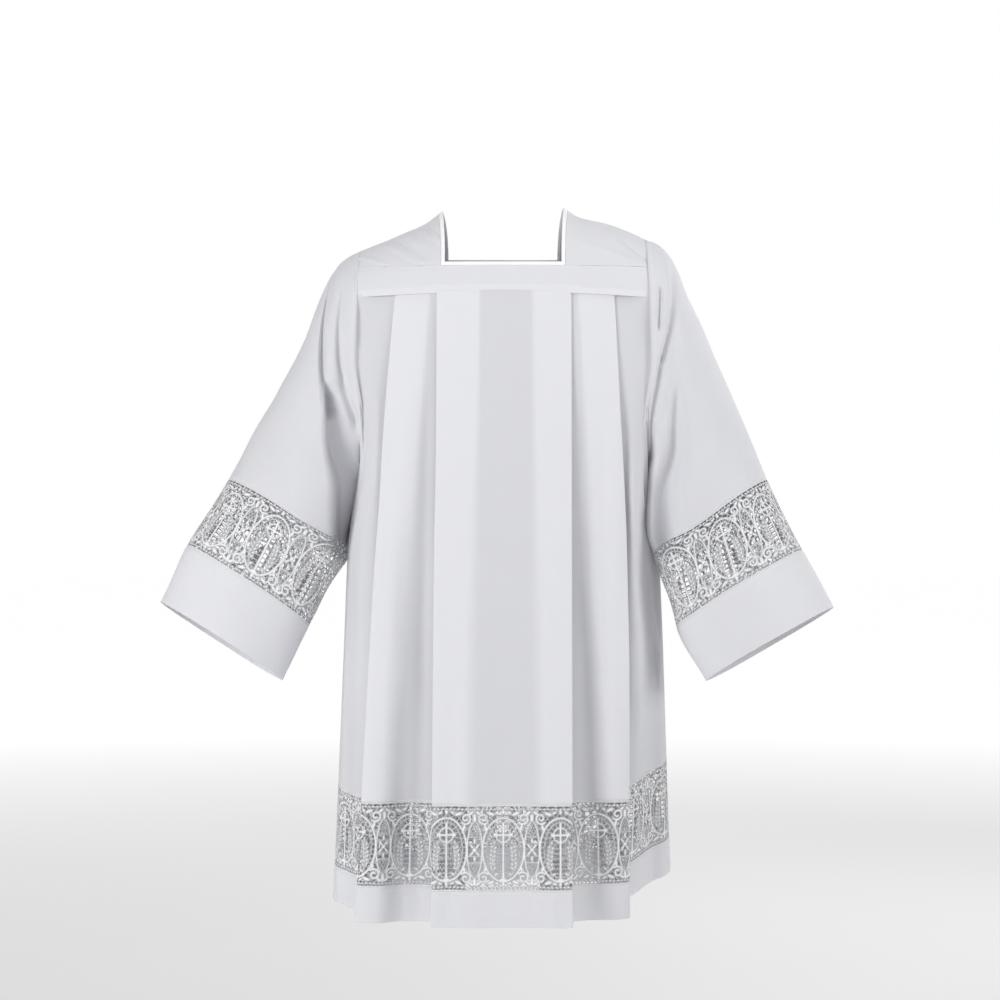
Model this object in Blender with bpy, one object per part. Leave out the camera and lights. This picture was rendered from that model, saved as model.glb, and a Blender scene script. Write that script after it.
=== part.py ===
"""Square-necked pleated surplice with lace insertions, hollow, as it hangs when worn.

Axes: +X to the viewer's right, -Y is the front, +Z up. The origin lies between the shoulders, where the
garment is held. Lengths are metres; the tables are in millimetres and say so.
"""
from collections import namedtuple

import bmesh
import bpy
import numpy as np
from mathutils import Vector
from mathutils.geometry import delaunay_2d_cdt

MM = 0.001
WALL = 1.4 * MM
BINDING_WALL = 2.4 * MM
SEAM_GAP = 0.3 * MM
LEFT, RIGHT = -1, 1
FRONT, BACK = -1, 1

# Yoke and shoulders
ARMHOLE_X = 188 * MM
ARMHOLE_SPREAD = 8 * MM
MIDDLE_Z = -172 * MM
UNDERARM_Z = -323 * MM
ROUNDNESS = 2.6
REACH_CENTRE = {FRONT: 130 * MM, BACK: 122 * MM}
REACH_SIDE = {FRONT: 118 * MM, BACK: 112 * MM}
YOKE_SEAM_Z = -87.5 * MM
YOKE_SEAM_DROP = 6 * MM
NECK_HALF_WIDTH = 74 * MM
NECK_SPREAD = 4.5 * MM
BINDING_WIDTH = 5 * MM
NECK_EDGE_Z = {FRONT: -48 * MM, BACK: -24 * MM}
NECK_COLUMNS = 7
SHOULDER_COLUMNS = 6
SHOULDER_ROWS = 12

# Shoulder line, in mm: its height at distances from the centre, and how much higher it lies on the right
SHOULDER_LINE = ((74, 32.5), (80, 28.8), (88, 23.1), (96, 17.5), (104, 13.6), (128, 5.9), (160, -5.9), (188, -18.1))
SHOULDER_LEAN = ((0, 0), (85, 2.5), (150, 8.2), (188, 7.6))

# Skirt: levels at which the pleats are set out, hem, lace and band
HEM_Z = -880 * MM
LEVELS = np.array([-90, -220, -470, -880]) * MM
FOLD_GAPS = np.array([1.9, 2.3, 3.0, 4.2]) * MM
LAYER = 1.9 * MM
HEM_BAND = 44 * MM
LACE_HEIGHT = 106 * MM
SIDE_COLUMNS = 4
BACK_LIFT_POWER = 4

# Pleats, in mm. x is the distance from the centre and y the distance forwards (or backwards) of the middle,
# at chest, waist and hem. A fold turns the cloth back under itself; layer counts the cloths in front of it
# at the yoke; lift is how far the hem is raised there. At the back the hem rises evenly towards the side seams.
Crease = namedtuple("Crease", "name fold x_yoke x_chest x_waist x_hem y_chest y_waist y_hem layer lift")

FRONT_LEFT = (
    Crease("inner_edge", True, 84, 84, 87, 89, 136.0, 152, 190, 0, 0),
    Crease("inner_tuck", True, 29, 31, 38, 48, 133.2, 147, 172, 1, 0),
    Crease("valley", False, 94, 97, 116, 125, 129.8, 136, 144, 2, 0),
    Crease("ridge", False, 118, 130, 145, 160, 129.4, 144, 158, 2, 0),
    Crease("outer_edge", True, 137, 148, 164, 186, 128.4, 140, 150, 2, 0),
    Crease("outer_tuck", True, 100, 108, 122, 145, 125.6, 133, 118, 3, 0),
    Crease("side_front", False, 152, 160, 177, 188, 122.0, 122, 76, 4, 1),
    Crease("armhole", False, 188, 184, 195, 209, 117.0, 94, 45, 0, 4),
)
FRONT_RIGHT = (
    Crease("inner_edge", True, 86, 86, 86, 86, 136.0, 152, 190, 0, 0),
    Crease("inner_tuck", True, 38, 38, 42, 46, 133.2, 147, 172, 1, 0),
    Crease("valley", False, 97, 99, 105, 113, 129.8, 134, 139, 2, 0),
    Crease("ridge", False, 120, 127, 136, 141, 129.4, 142, 136, 2, 0),
    Crease("outer_edge", True, 141, 147, 158, 160, 128.4, 138, 125, 2, 0),
    Crease("outer_tuck", True, 104, 110, 120, 124, 125.6, 130, 100, 3, 2),
    Crease("side_front", False, 158, 163, 174, 165, 122.0, 118, 60, 4, 18),
    Crease("armhole", False, 188, 184, 194, 198, 117.0, 86, 16, 0, 31),
)
BACK_HALF = (
    Crease("inner_edge", True, 85, 86, 88, 92, 128.0, 138, 166, 0, 0),
    Crease("inner_tuck", True, 35, 38, 44, 50, 125.2, 133, 150, 1, 0),
    Crease("valley", False, 96, 100, 112, 122, 121.6, 124, 132, 2, 0),
    Crease("ridge", False, 118, 126, 142, 152, 121.2, 130, 142, 2, 0),
    Crease("outer_edge", True, 139, 147, 160, 176, 120.6, 127, 136, 2, 0),
    Crease("outer_tuck", True, 102, 108, 121, 138, 117.8, 120, 108, 3, 0),
    Crease("side_back", False, 154, 161, 176, 188, 116.0, 111, 82, 4, 0),
    Crease("armhole", False, 188, 184, 195, 207, 111.0, 86, 44, 0, 0),
)

# Side seams, in mm: x at underarm, chest, waist and hem, y at the hem (backwards), lift of the hem there
SideSeam = namedtuple("SideSeam", "x_chest x_waist x_hem y_hem lift")
SIDE_SEAMS = {LEFT: SideSeam(196, 205, 224, 4, 8), RIGHT: SideSeam(196, 207, 223, 16, 42)}

# Sleeves, in mm: the top and under lines as seen from the front, the half depth and how far it swings forwards
SleeveRow = namedtuple("SleeveRow", "name top_x top_z under_x under_z half_depth forward")
SLEEVE_ROWS = {
    LEFT: (
        SleeveRow("armhole", 188.3, -25.7, 197.5, -323, 115, 3),
        SleeveRow("crown", 200, -32.3, 198.4, -331, 115, 4),
        SleeveRow("shoulder", 214, -44, 199.7, -341, 114, 5),
        SleeveRow("upper_arm", 239.5, -88, 202, -356, 110, 8),
        SleeveRow("drape", 258.5, -141, 204, -371, 104, 14),
        SleeveRow("elbow", 315.5, -247, 207.5, -398, 90, 34),
        SleeveRow("lace_top", 355.5, -325, 211, -420, 80, 52),
        SleeveRow("lace_end", 406, -411, 250, -513, 71, 76),
        SleeveRow("cuff_edge", 438, -482, 283, -581, 64, 92),
    ),
    RIGHT: (
        SleeveRow("armhole", 188.3, -10.5, 197.5, -323, 115, 3),
        SleeveRow("crown", 203, -16.6, 198.4, -331, 115, 4),
        SleeveRow("shoulder", 221, -37, 199.9, -341, 114, 5),
        SleeveRow("upper_arm", 243, -88, 202.5, -356, 110, 8),
        SleeveRow("drape", 266.5, -141, 205, -371, 104, 14),
        SleeveRow("elbow", 312.5, -247, 209.5, -398, 90, 34),
        SleeveRow("lace_top", 341.5, -325, 214, -423, 80, 52),
        SleeveRow("lace_end", 386, -417, 224, -514, 71, 76),
        SleeveRow("cuff_edge", 422, -489, 260, -582, 64, 92),
    ),
}
SLEEVE_AROUND = 24
SLEEVE_TILT = 0.16

# Hanging folds of the sleeves, in mm: a line down the front or back, its width and its depth inwards
Fold = namedtuple("Fold", "facing x_high z_high x_low z_low width_high width_low depth_high depth_low")
SLEEVE_FOLDS = {
    LEFT: (
        Fold(FRONT, 236, -60, 232, -240, 9, 14, -5, -9),
        Fold(FRONT, 216, -150, 214, -400, 9, 13, 8, 20),
        Fold(FRONT, 300, -240, 300, -520, 26, 40, 4, 9),
        Fold(BACK, 220, -120, 222, -400, 12, 18, 8, 18),
        Fold(BACK, 290, -260, 310, -520, 24, 34, 3, 8),
    ),
    RIGHT: (
        Fold(FRONT, 232, -60, 236, -260, 10, 15, -5, -9),
        Fold(FRONT, 216, -200, 218, -400, 8, 14, 10, 24),
        Fold(FRONT, 288, -240, 290, -520, 26, 38, 4, 9),
        Fold(BACK, 220, -120, 224, -400, 12, 18, 8, 18),
        Fold(BACK, 280, -260, 300, -520, 24, 34, 3, 8),
    ),
}

# Lace: one repeat of openings, in mm from the middle of the repeat and from the lower edge
LACE_REPEAT = 71.5 * MM
LACE_OPENINGS = (
    ((-11, 16), (-3, 13), (-3, 50), (-11, 47)),
    ((11, 16), (11, 47), (3, 50), (3, 13)),
    ((-12, 60), (-3, 60), (-3, 80), (-9, 76)),
    ((12, 60), (9, 76), (3, 80), (3, 60)),
    ((-35.75, 24), (-28, 52), (-35.75, 80), (-43.5, 52)),
    ((-22, 92), (-12, 90), (-14, 98), (-24, 99)),
    ((22, 10), (12, 12), (14, 5), (24, 5)),
)

COTTON = (0.86, 0.87, 0.89, 1.0)
LACE_WHITE = (0.90, 0.90, 0.91, 1.0)


def smooth_rows(knots, values, at):
    """Monotone cubic through values at the knots, evaluated at `at`; values may have further axes."""
    knots = np.asarray(knots, float)
    values = np.asarray(values, float)
    spans = np.diff(knots)
    chords = np.diff(values, axis=0) / spans.reshape((-1,) + (1,) * (values.ndim - 1))
    slopes = np.zeros_like(values)
    slopes[0] = chords[0]
    slopes[-1] = chords[-1]
    before, after = chords[:-1], chords[1:]
    same = before * after > 0
    total = np.where(same, before + after, 1.0)
    slopes[1:-1] = np.where(same, 2 * before * after / total, 0.0)
    at = np.clip(np.asarray(at, float), knots[0], knots[-1])
    cell = np.clip(np.searchsorted(knots, at, side="right") - 1, 0, len(spans) - 1)
    shape = at.shape + (1,) * (values.ndim - 1)
    span = spans[cell].reshape(shape)
    t = ((at - knots[cell]) / spans[cell]).reshape(shape)
    low, high = values[cell], values[cell + 1]
    low_slope, high_slope = slopes[cell] * span, slopes[cell + 1] * span
    return (low * (1 + 2 * t) * (1 - t) ** 2 + low_slope * t * (1 - t) ** 2
            + high * t ** 2 * (3 - 2 * t) - high_slope * t ** 2 * (1 - t))


def ease(value, start, end):
    """Smooth step from 0 at start to 1 at end."""
    t = np.clip((value - start) / (end - start), 0.0, 1.0)
    return t * t * (3 - 2 * t)


def signed_power(value, power):
    return np.sign(value) * np.abs(value) ** power


# ---- the yoke and shoulder surface ----

def ridge_z(x):
    """Height of the shoulder line at x."""
    return smooth_rows(*np.array(SHOULDER_LINE).T * MM, np.abs(x)) \
        + smooth_rows(*np.array(SHOULDER_LEAN).T * MM, np.abs(x)) * np.sign(x)


def reach(x, facing):
    """How far the surface stands forwards (or backwards) at its deepest."""
    across = np.minimum(np.abs(x) / ARMHOLE_X, 1.0) ** 2
    return REACH_CENTRE[facing] + (REACH_SIDE[facing] - REACH_CENTRE[facing]) * across


def surface_y(x, z, facing):
    """Y of the yoke surface at x and z."""
    rise = np.abs((z - MIDDLE_Z) / (ridge_z(x) - MIDDLE_Z))
    return facing * reach(x, facing) * np.maximum(1 - rise ** ROUNDNESS, 0.0) ** (1 / ROUNDNESS)


def over_shoulder(x, angle):
    """Point of the shoulder surface: angle 0 on the ridge, negative in front."""
    depth = np.where(angle < 0, reach(x, FRONT), reach(x, BACK))
    height = ridge_z(x) - MIDDLE_Z
    y = depth * signed_power(np.sin(angle), 2 / ROUNDNESS)
    z = MIDDLE_Z + height * signed_power(np.cos(angle), 2 / ROUNDNESS)
    return np.stack(np.broadcast_arrays(x, y, z), axis=-1)


def angle_at(x, z, facing):
    """Angle of the shoulder surface at which it reaches height z."""
    rise = (z - MIDDLE_Z) / (ridge_z(x) - MIDDLE_Z)
    return facing * np.arccos(np.clip(rise, 0.0, 1.0) ** (ROUNDNESS / 2))


def yoke_seam_z(x):
    return YOKE_SEAM_Z - YOKE_SEAM_DROP * (x / ARMHOLE_X) ** 2


def neck_x(share):
    """Half width of the neck line from its front corner to its back corner: it spreads over the shoulder."""
    return NECK_HALF_WIDTH + NECK_SPREAD * np.sin(np.pi * share) ** 2


def yoke_top_z(facing):
    return NECK_EDGE_Z[facing] - BINDING_WIDTH - SEAM_GAP


def armhole_x(z, side):
    """X of the armhole edge at height z: it leans out towards the underarm."""
    top = ridge_z(side * ARMHOLE_X)
    return side * (ARMHOLE_X + ARMHOLE_SPREAD * (top - z) / (top - UNDERARM_Z))


# ---- thin shells ----

def grid_normals(points, wrap):
    """Mitred normals of a grid of points (rows, columns): their length keeps the wall's thickness at bends."""
    below = np.concatenate([points, points[:, :1]], axis=1) if wrap else points
    down = below[1:] - below[:-1]
    across = below[:, 1:] - below[:, :-1]
    faces = np.cross(across[:-1] + across[1:], down[:, :-1] + down[:, 1:])
    faces /= np.maximum(np.linalg.norm(faces, axis=-1, keepdims=True), 1e-12)
    rows, columns = points.shape[:2]
    total = np.zeros_like(points)
    count = np.zeros(points.shape[:2] + (1,))
    for row_step in (0, 1):
        for column_step in (0, 1):
            for row in range(rows - 1):
                targets = (np.arange(faces.shape[1]) + column_step) % columns
                np.add.at(total, (row + row_step, targets), faces[row])
                np.add.at(count, (row + row_step, targets), 1.0)
    mean = total / count
    length_squared = np.maximum(np.sum(mean ** 2, axis=-1, keepdims=True), 0.25)
    return mean / length_squared


def without(normals, axis):
    """Normals turned into the plane across an axis, at their own length."""
    axis = np.asarray(axis, float)
    axis = axis / np.linalg.norm(axis, axis=-1, keepdims=True)
    length = np.linalg.norm(normals, axis=-1, keepdims=True)
    flat = normals - np.sum(normals * axis, axis=-1, keepdims=True) * axis
    return flat / np.linalg.norm(flat, axis=-1, keepdims=True) * length


def shell_faces(points, wall, wrap=False, edge_axes=()):
    """Outer and inner grids of a wall. edge_axes holds (index, axis) pairs whose rims lie across that axis."""
    normals = grid_normals(points, wrap)
    for index, axis in edge_axes:
        normals[index] = without(normals[index], axis)
    return points + normals * wall / 2, points - normals * wall / 2


ROW_FIRST, ROW_LAST = (0, slice(None)), (-1, slice(None))
COLUMN_FIRST, COLUMN_LAST = (slice(None), 0), (slice(None), -1)


def build_object(name, vertices, faces, colour):
    """Closed mesh object with its own plain material."""
    mesh = bpy.data.meshes.new(name)
    mesh.from_pydata([tuple(v) for v in vertices], [], faces)
    work = bmesh.new()
    work.from_mesh(mesh)
    bmesh.ops.recalc_face_normals(work, faces=work.faces)
    work.to_mesh(mesh)
    work.free()
    material = bpy.data.materials.new(name)
    material.use_nodes = True
    shader = material.node_tree.nodes["Principled BSDF"]
    shader.inputs["Base Color"].default_value = colour
    shader.inputs["Roughness"].default_value = 0.85
    shader.inputs["Metallic"].default_value = 0.0
    mesh.materials.append(material)
    piece = bpy.data.objects.new(name, mesh)
    bpy.context.scene.collection.objects.link(piece)
    return piece


def split(quad, middle):
    """Two triangles of a quad, cut along its shorter diagonal."""
    a, b, c, d = quad
    if np.linalg.norm(middle[a] - middle[c]) <= np.linalg.norm(middle[b] - middle[d]):
        return (a, b, c), (a, c, d)
    return (a, b, d), (b, c, d)


def build_shell(name, outer, inner, wrap=False, colour=COTTON):
    """Joins an outer and an inner grid into one closed wall, both cut along the same diagonals."""
    rows, columns = outer.shape[:2]
    spans = columns if wrap else columns - 1
    index = np.arange(rows * columns).reshape(rows, columns)
    offset = rows * columns
    middle = ((outer + inner) / 2).reshape(-1, 3)
    faces = []
    for row in range(rows - 1):
        for column in range(spans):
            after = (column + 1) % columns
            quad = index[row, column], index[row, after], index[row + 1, after], index[row + 1, column]
            for a, b, c in split(quad, middle):
                faces.append((a, b, c))
                faces.append((c + offset, b + offset, a + offset))
    rims = [index[0], index[-1]]
    for rim in rims:
        for column in range(spans):
            a, b = rim[column], rim[(column + 1) % columns]
            faces.append((a, b, b + offset, a + offset))
    if not wrap:
        for rim in (index[:, 0], index[:, -1]):
            for row in range(rows - 1):
                a, b = rim[row], rim[row + 1]
                faces.append((a, b, b + offset, a + offset))
    faces = [tuple(int(i) for i in face) for face in faces]
    vertices = np.concatenate([outer.reshape(-1, 3), inner.reshape(-1, 3)])
    return build_object(name, vertices, faces, colour)


# ---- lace ----

def openings_between(start, end, repeats_from):
    """Polygons of the lace openings along a strip, whole ones only, in metres."""
    polygons = []
    first = int(np.floor((start - repeats_from) / LACE_REPEAT)) - 1
    last = int(np.ceil((end - repeats_from) / LACE_REPEAT)) + 1
    for number in range(first, last + 1):
        middle = repeats_from + number * LACE_REPEAT
        for outline in LACE_OPENINGS:
            polygon = [(middle + x * MM, y * MM) for x, y in outline]
            along = [x for x, _ in polygon]
            if min(along) > start + 3 * MM and max(along) < end - 3 * MM:
                polygons.append(polygon)
    return polygons


def inside(polygon, points):
    """True for each point that lies in the polygon."""
    corners = np.array(polygon)
    following = np.roll(corners, -1, axis=0)
    x, y = points[:, :1], points[:, 1:]
    spans = (corners[:, 1] > y) != (following[:, 1] > y)
    run, rise = (following - corners).T
    crossing = corners[:, 0] + (y - corners[:, 1]) * run / np.where(rise == 0, 1, rise)
    return np.sum(spans & (x < crossing), axis=1) % 2 == 1


def build_lace(name, outer, inner, repeats_from):
    """Cuts the openings out of a wall of two rows (upper, lower) and closes it round them.

    The wall is laid flat: across by the length along its middle, up by its height, the lower row at 0.
    """
    middle = (outer + inner).mean(axis=0) / 2
    along = np.concatenate([[0.0], np.cumsum(np.linalg.norm(np.diff(middle, axis=0), axis=1))])
    corners = [(x, 0.0) for x in along] + [(x, LACE_HEIGHT) for x in along]
    count = len(along)
    edges = [(i, i + 1) for i in range(count - 1)] + [(count + i, count + i + 1) for i in range(count - 1)]
    edges += [(i, count + i) for i in range(count)]
    polygons = openings_between(0.0, along[-1], repeats_from(along, middle))
    for polygon in polygons:
        first = len(corners)
        corners += polygon
        edges += [(first + i, first + (i + 1) % len(polygon)) for i in range(len(polygon))]
    flat, _, triangles, _, _, _ = delaunay_2d_cdt([Vector(c) for c in corners], edges, [], 0, 2e-4)
    flat = np.array([tuple(v) for v in flat])
    triangles = np.array(triangles)
    centres = flat[triangles].mean(axis=1)
    keep = np.ones(len(triangles), bool)
    for polygon in polygons:
        keep &= ~inside(polygon, centres)
    triangles = triangles[keep]
    used, triangles = np.unique(triangles, return_inverse=True)
    triangles = triangles.reshape(-1, 3)
    flat = flat[used]
    column = np.clip(np.searchsorted(along, flat[:, 0], side="right") - 1, 0, count - 2)
    t = ((flat[:, 0] - along[column]) / (along[column + 1] - along[column]))[:, None]
    u = (flat[:, 1] / LACE_HEIGHT)[:, None]
    sides = []
    for grid in (outer, inner):
        upper = grid[0, column] * (1 - t) + grid[0, column + 1] * t
        lower = grid[1, column] * (1 - t) + grid[1, column + 1] * t
        sides.append(lower * (1 - u) + upper * u)
    offset = len(flat)
    faces = [tuple(int(i) for i in face) for face in triangles]
    faces += [tuple(int(i) + offset for i in face[::-1]) for face in triangles]
    directed = {(int(f[i]), int(f[(i + 1) % 3])) for f in triangles for i in range(3)}
    for a, b in sorted(directed):
        if (b, a) not in directed:
            faces.append((b, a, a + offset, b + offset))
    build_object(name, np.concatenate(sides), faces, LACE_WHITE)
    return len(polygons)


# ---- the skirt ----

def half_planform(creases, side, facing):
    """Columns of one half, from the centre outwards: x and outward y at each level, layer and lift."""
    seam = SIDE_SEAMS[side]
    columns = []
    for crease in creases:
        x = np.array([crease.x_yoke, crease.x_chest, crease.x_waist, crease.x_hem]) * MM
        y = np.array([0, crease.y_chest, crease.y_waist, crease.y_hem]) * MM
        y[0] = abs(surface_y(side * x[0], yoke_seam_z(x[0]), facing)) - crease.layer * LAYER
        lift = crease.lift * MM
        if facing == BACK:
            lift += seam.lift * MM * (crease.x_hem / seam.x_hem) ** BACK_LIFT_POWER
        columns.append((x, y, lift, None))
        if crease.fold:
            columns.append((x, y - FOLD_GAPS, lift, None))
    edge_x, edge_y, edge_lift, _ = columns[-1]
    seam_x = np.array([seam.x_chest, seam.x_chest, seam.x_waist, seam.x_hem]) * MM
    seam_y = np.array([0, 0, 0, -facing * seam.y_hem]) * MM * -1
    for step in range(1, SIDE_COLUMNS + 1):
        turn = step / SIDE_COLUMNS * np.pi / 2
        x = edge_x + (seam_x - edge_x) * np.sin(turn)
        y = edge_y + (seam_y - edge_y) * (1 - np.cos(turn))
        if step == SIDE_COLUMNS:
            y = y + SEAM_GAP / 2
        lift = edge_lift + (seam.lift * MM - edge_lift) * step / SIDE_COLUMNS
        columns.append((x, y, lift, step / SIDE_COLUMNS))
    return columns


def armhole_point(share, side, facing):
    """Point of the armhole below the yoke corner: share 0 at the corner, 1 at the underarm."""
    top = ridge_z(side * ARMHOLE_X)
    corner = angle_at(side * ARMHOLE_X, yoke_seam_z(ARMHOLE_X), facing)
    angle = abs(corner) + (np.pi - abs(corner)) * share
    height = top - MIDDLE_Z if angle < np.pi / 2 else MIDDLE_Z - UNDERARM_Z
    z = MIDDLE_Z + height * signed_power(np.cos(angle), 2 / ROUNDNESS)
    y = max(reach(ARMHOLE_X, facing) * np.sin(angle) ** (2 / ROUNDNESS), SEAM_GAP / 2)
    return np.array([armhole_x(z, side), facing * y, z])


def skirt_columns(facing):
    """All columns of the front or back panel from left to right, each a function of how far down it is."""
    tables = {LEFT: FRONT_LEFT, RIGHT: FRONT_RIGHT} if facing == FRONT else {LEFT: BACK_HALF, RIGHT: BACK_HALF}
    halves = {side: half_planform(table, side, facing) for side, table in tables.items()}
    columns = [(LEFT,) + column for column in reversed(halves[LEFT])]
    centre_y = (halves[LEFT][0][1] + halves[RIGHT][0][1]) / 2 + np.array([0, 0.6, 1.0, 0]) * MM
    for share in (-1 / 3, 1 / 3):
        x = np.abs(share) * halves[LEFT if share < 0 else RIGHT][0][0]
        y = centre_y.copy()
        y[0] = abs(surface_y(x[0], yoke_seam_z(x[0]), facing))
        columns.append((int(np.sign(share)), x, y, 0.0, None))
    columns += [(RIGHT,) + column for column in halves[RIGHT]]
    return columns


def skirt_point(column, z, facing):
    side, x_levels, y_levels, _, _ = column
    x = smooth_rows(-LEVELS, x_levels, -np.asarray(z))
    y = smooth_rows(-LEVELS, y_levels, -np.asarray(z))
    return np.stack([side * x, facing * y, np.asarray(z, float)], axis=-1)


def skirt_grid(facing, upper, lower, rows):
    """Grid between two heights above the hem (upper None is the yoke seam and armhole)."""
    grid = []
    for column in skirt_columns(facing):
        side, x_levels, _, lift, share = column
        if upper is not None:
            top_z, pull = HEM_Z + lift + upper, None
        elif share is None:
            top_z, pull = yoke_seam_z(x_levels[0]) - SEAM_GAP, None
        else:
            target = armhole_point(share, side, facing)
            top_z, pull = target[2] - SEAM_GAP, target
        bottom_z = HEM_Z + lift + lower
        z = top_z + (bottom_z - top_z) * np.linspace(0, 1, rows) ** (1.0 if upper is not None else 1.25)
        points = skirt_point(column, z, facing)
        armhole = armhole_point(share or 0.0, side, facing)
        if share is not None:
            start = skirt_point(column, armhole[2], facing)
            fade = (1 - ease(armhole[2] - z, 0.0, 0.16))[:, None]
            points[:, :2] += (armhole - start)[:2] * fade
        grid.append(points)
    return np.stack(grid, axis=1)


SKIRT_EDGES = (
    (ROW_FIRST, (0, 0, 1)), (ROW_LAST, (0, 0, 1)), (COLUMN_FIRST, (0, 1, 0)), (COLUMN_LAST, (0, 1, 0)),
)


def middle_of_strip(along, middle):
    """Repeats are set out from the centre line of the panel."""
    right = np.argmax(middle[:, 0] > 0)
    left = right - 1
    share = -middle[left, 0] / (middle[right, 0] - middle[left, 0])
    return along[left] + share * (along[right] - along[left])


def build_skirt():
    for facing, word in ((FRONT, "front"), (BACK, "back")):
        lace_top = HEM_BAND + LACE_HEIGHT
        panel = skirt_grid(facing, None, lace_top + SEAM_GAP, 8)
        build_shell("body_" + word, *shell_faces(panel, WALL, edge_axes=SKIRT_EDGES))
        lace = skirt_grid(facing, lace_top, HEM_BAND, 2)
        build_lace("hem_lace_" + word, *shell_faces(lace, WALL, edge_axes=SKIRT_EDGES), middle_of_strip)
        band = skirt_grid(facing, HEM_BAND - SEAM_GAP, 0.0, 2)
        build_shell("hem_band_" + word, *shell_faces(band, WALL, edge_axes=SKIRT_EDGES))


# ---- yokes, shoulders and neck ----

def build_yoke(facing, word):
    neck = np.linspace(-1, 1, NECK_COLUMNS) * (NECK_HALF_WIDTH + BINDING_WIDTH)
    beside = np.linspace(neck[-1], ARMHOLE_X, SHOULDER_COLUMNS)[1:]
    x = np.concatenate([-beside[::-1], neck, beside])
    top = yoke_top_z(facing)
    rows = []
    for share in np.linspace(0, 1, 3):
        z = top + (yoke_seam_z(x) - top) * share
        x[0], x[-1] = armhole_x(z[0], LEFT), armhole_x(z[-1], RIGHT)
        rows.append(np.stack([x, surface_y(x, z, facing), z], axis=-1))
    edges = ((COLUMN_FIRST, (1, 0, 0)), (COLUMN_LAST, (1, 0, 0)))
    build_shell("yoke_" + word, *shell_faces(np.array(rows), WALL, edge_axes=edges))


def build_shoulder(side, word):
    shares = np.linspace(0, 1, SHOULDER_ROWS)[:, None]
    inner = neck_x(shares) + BINDING_WIDTH + SEAM_GAP
    x = side * (inner + (ARMHOLE_X - inner) * np.linspace(0, 1, SHOULDER_COLUMNS))
    front = angle_at(x, yoke_top_z(FRONT) + SEAM_GAP, FRONT)
    back = angle_at(x, yoke_top_z(BACK) + SEAM_GAP, BACK)
    grid = over_shoulder(x, front + (back - front) * shares)
    edges = ((COLUMN_FIRST, (1, 0, 0)), (COLUMN_LAST, (1, 0, 0)))
    build_shell("shoulder_" + word, *shell_faces(grid, WALL, edge_axes=edges))


def neck_side(side, grow, shares):
    """One side of the neck line, share 0 at its front corner and 1 at its back corner."""
    x = side * (neck_x(shares) + grow)
    front = angle_at(x, NECK_EDGE_Z[FRONT] - grow, FRONT)
    back = angle_at(x, NECK_EDGE_Z[BACK] - grow, BACK)
    return over_shoulder(x, front + (back - front) * shares)


def neck_edge(x, grow, facing):
    """Front or back edge of the neck line."""
    z = np.full(x.shape, NECK_EDGE_Z[facing] - grow)
    return np.stack([x, surface_y(x, z, facing), z], axis=-1)


def neck_loop(grow):
    """Square neck line, grown outwards: front edge, right side, back edge, left side."""
    half = NECK_HALF_WIDTH + grow
    across = np.linspace(-1, 1, NECK_COLUMNS)[:-1] * half
    along = np.linspace(0, 1, SHOULDER_ROWS)
    return np.concatenate([
        neck_edge(across, grow, FRONT), neck_side(RIGHT, grow, along[:-1]),
        neck_edge(-across, grow, BACK), neck_side(LEFT, grow, along[:0:-1]),
    ])


def build_neck_binding():
    grid = np.stack([neck_loop(0.0), neck_loop(BINDING_WIDTH)])
    beside_neck = np.abs(grid[0, :, 0]) > NECK_HALF_WIDTH - 1e-6
    edges = (((slice(None), beside_neck), (1, 0, 0)),)
    build_shell("neck_binding", *shell_faces(grid, BINDING_WALL, wrap=True, edge_axes=edges), wrap=True)


# ---- sleeves ----

def sleeve_lengths(side):
    """Share of the top line's length at each row."""
    rows = SLEEVE_ROWS[side]
    top = np.array([(row.top_x, row.top_z) for row in rows]) * MM
    steps = np.linalg.norm(np.diff(top, axis=0), axis=1)
    lengths = np.concatenate([[0.0], np.cumsum(steps)])
    return lengths / lengths[-1], lengths[-1]


def fold_depth(side, points, shares):
    """How far the hanging folds push the sleeve's wall inwards, along y."""
    total = np.zeros(points.shape[:-1])
    for fold in SLEEVE_FOLDS[side]:
        t = (points[..., 2] / MM - fold.z_high) / (fold.z_low - fold.z_high)
        along = np.clip(t, 0.0, 1.0)
        centre = fold.x_high + (fold.x_low - fold.x_high) * along
        width = fold.width_high + (fold.width_low - fold.width_high) * along
        depth = fold.depth_high + (fold.depth_low - fold.depth_high) * along
        ends = ease(t, -0.45, 0.1) * (1 - ease(t, 0.85, 1.5))
        away = (np.abs(points[..., 0]) / MM - centre) / width
        total += -fold.facing * depth * MM * np.exp(-away ** 2) * ends * (points[..., 1] * fold.facing > 0)
    return total * ease(shares, 0.0, 0.16)


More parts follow.
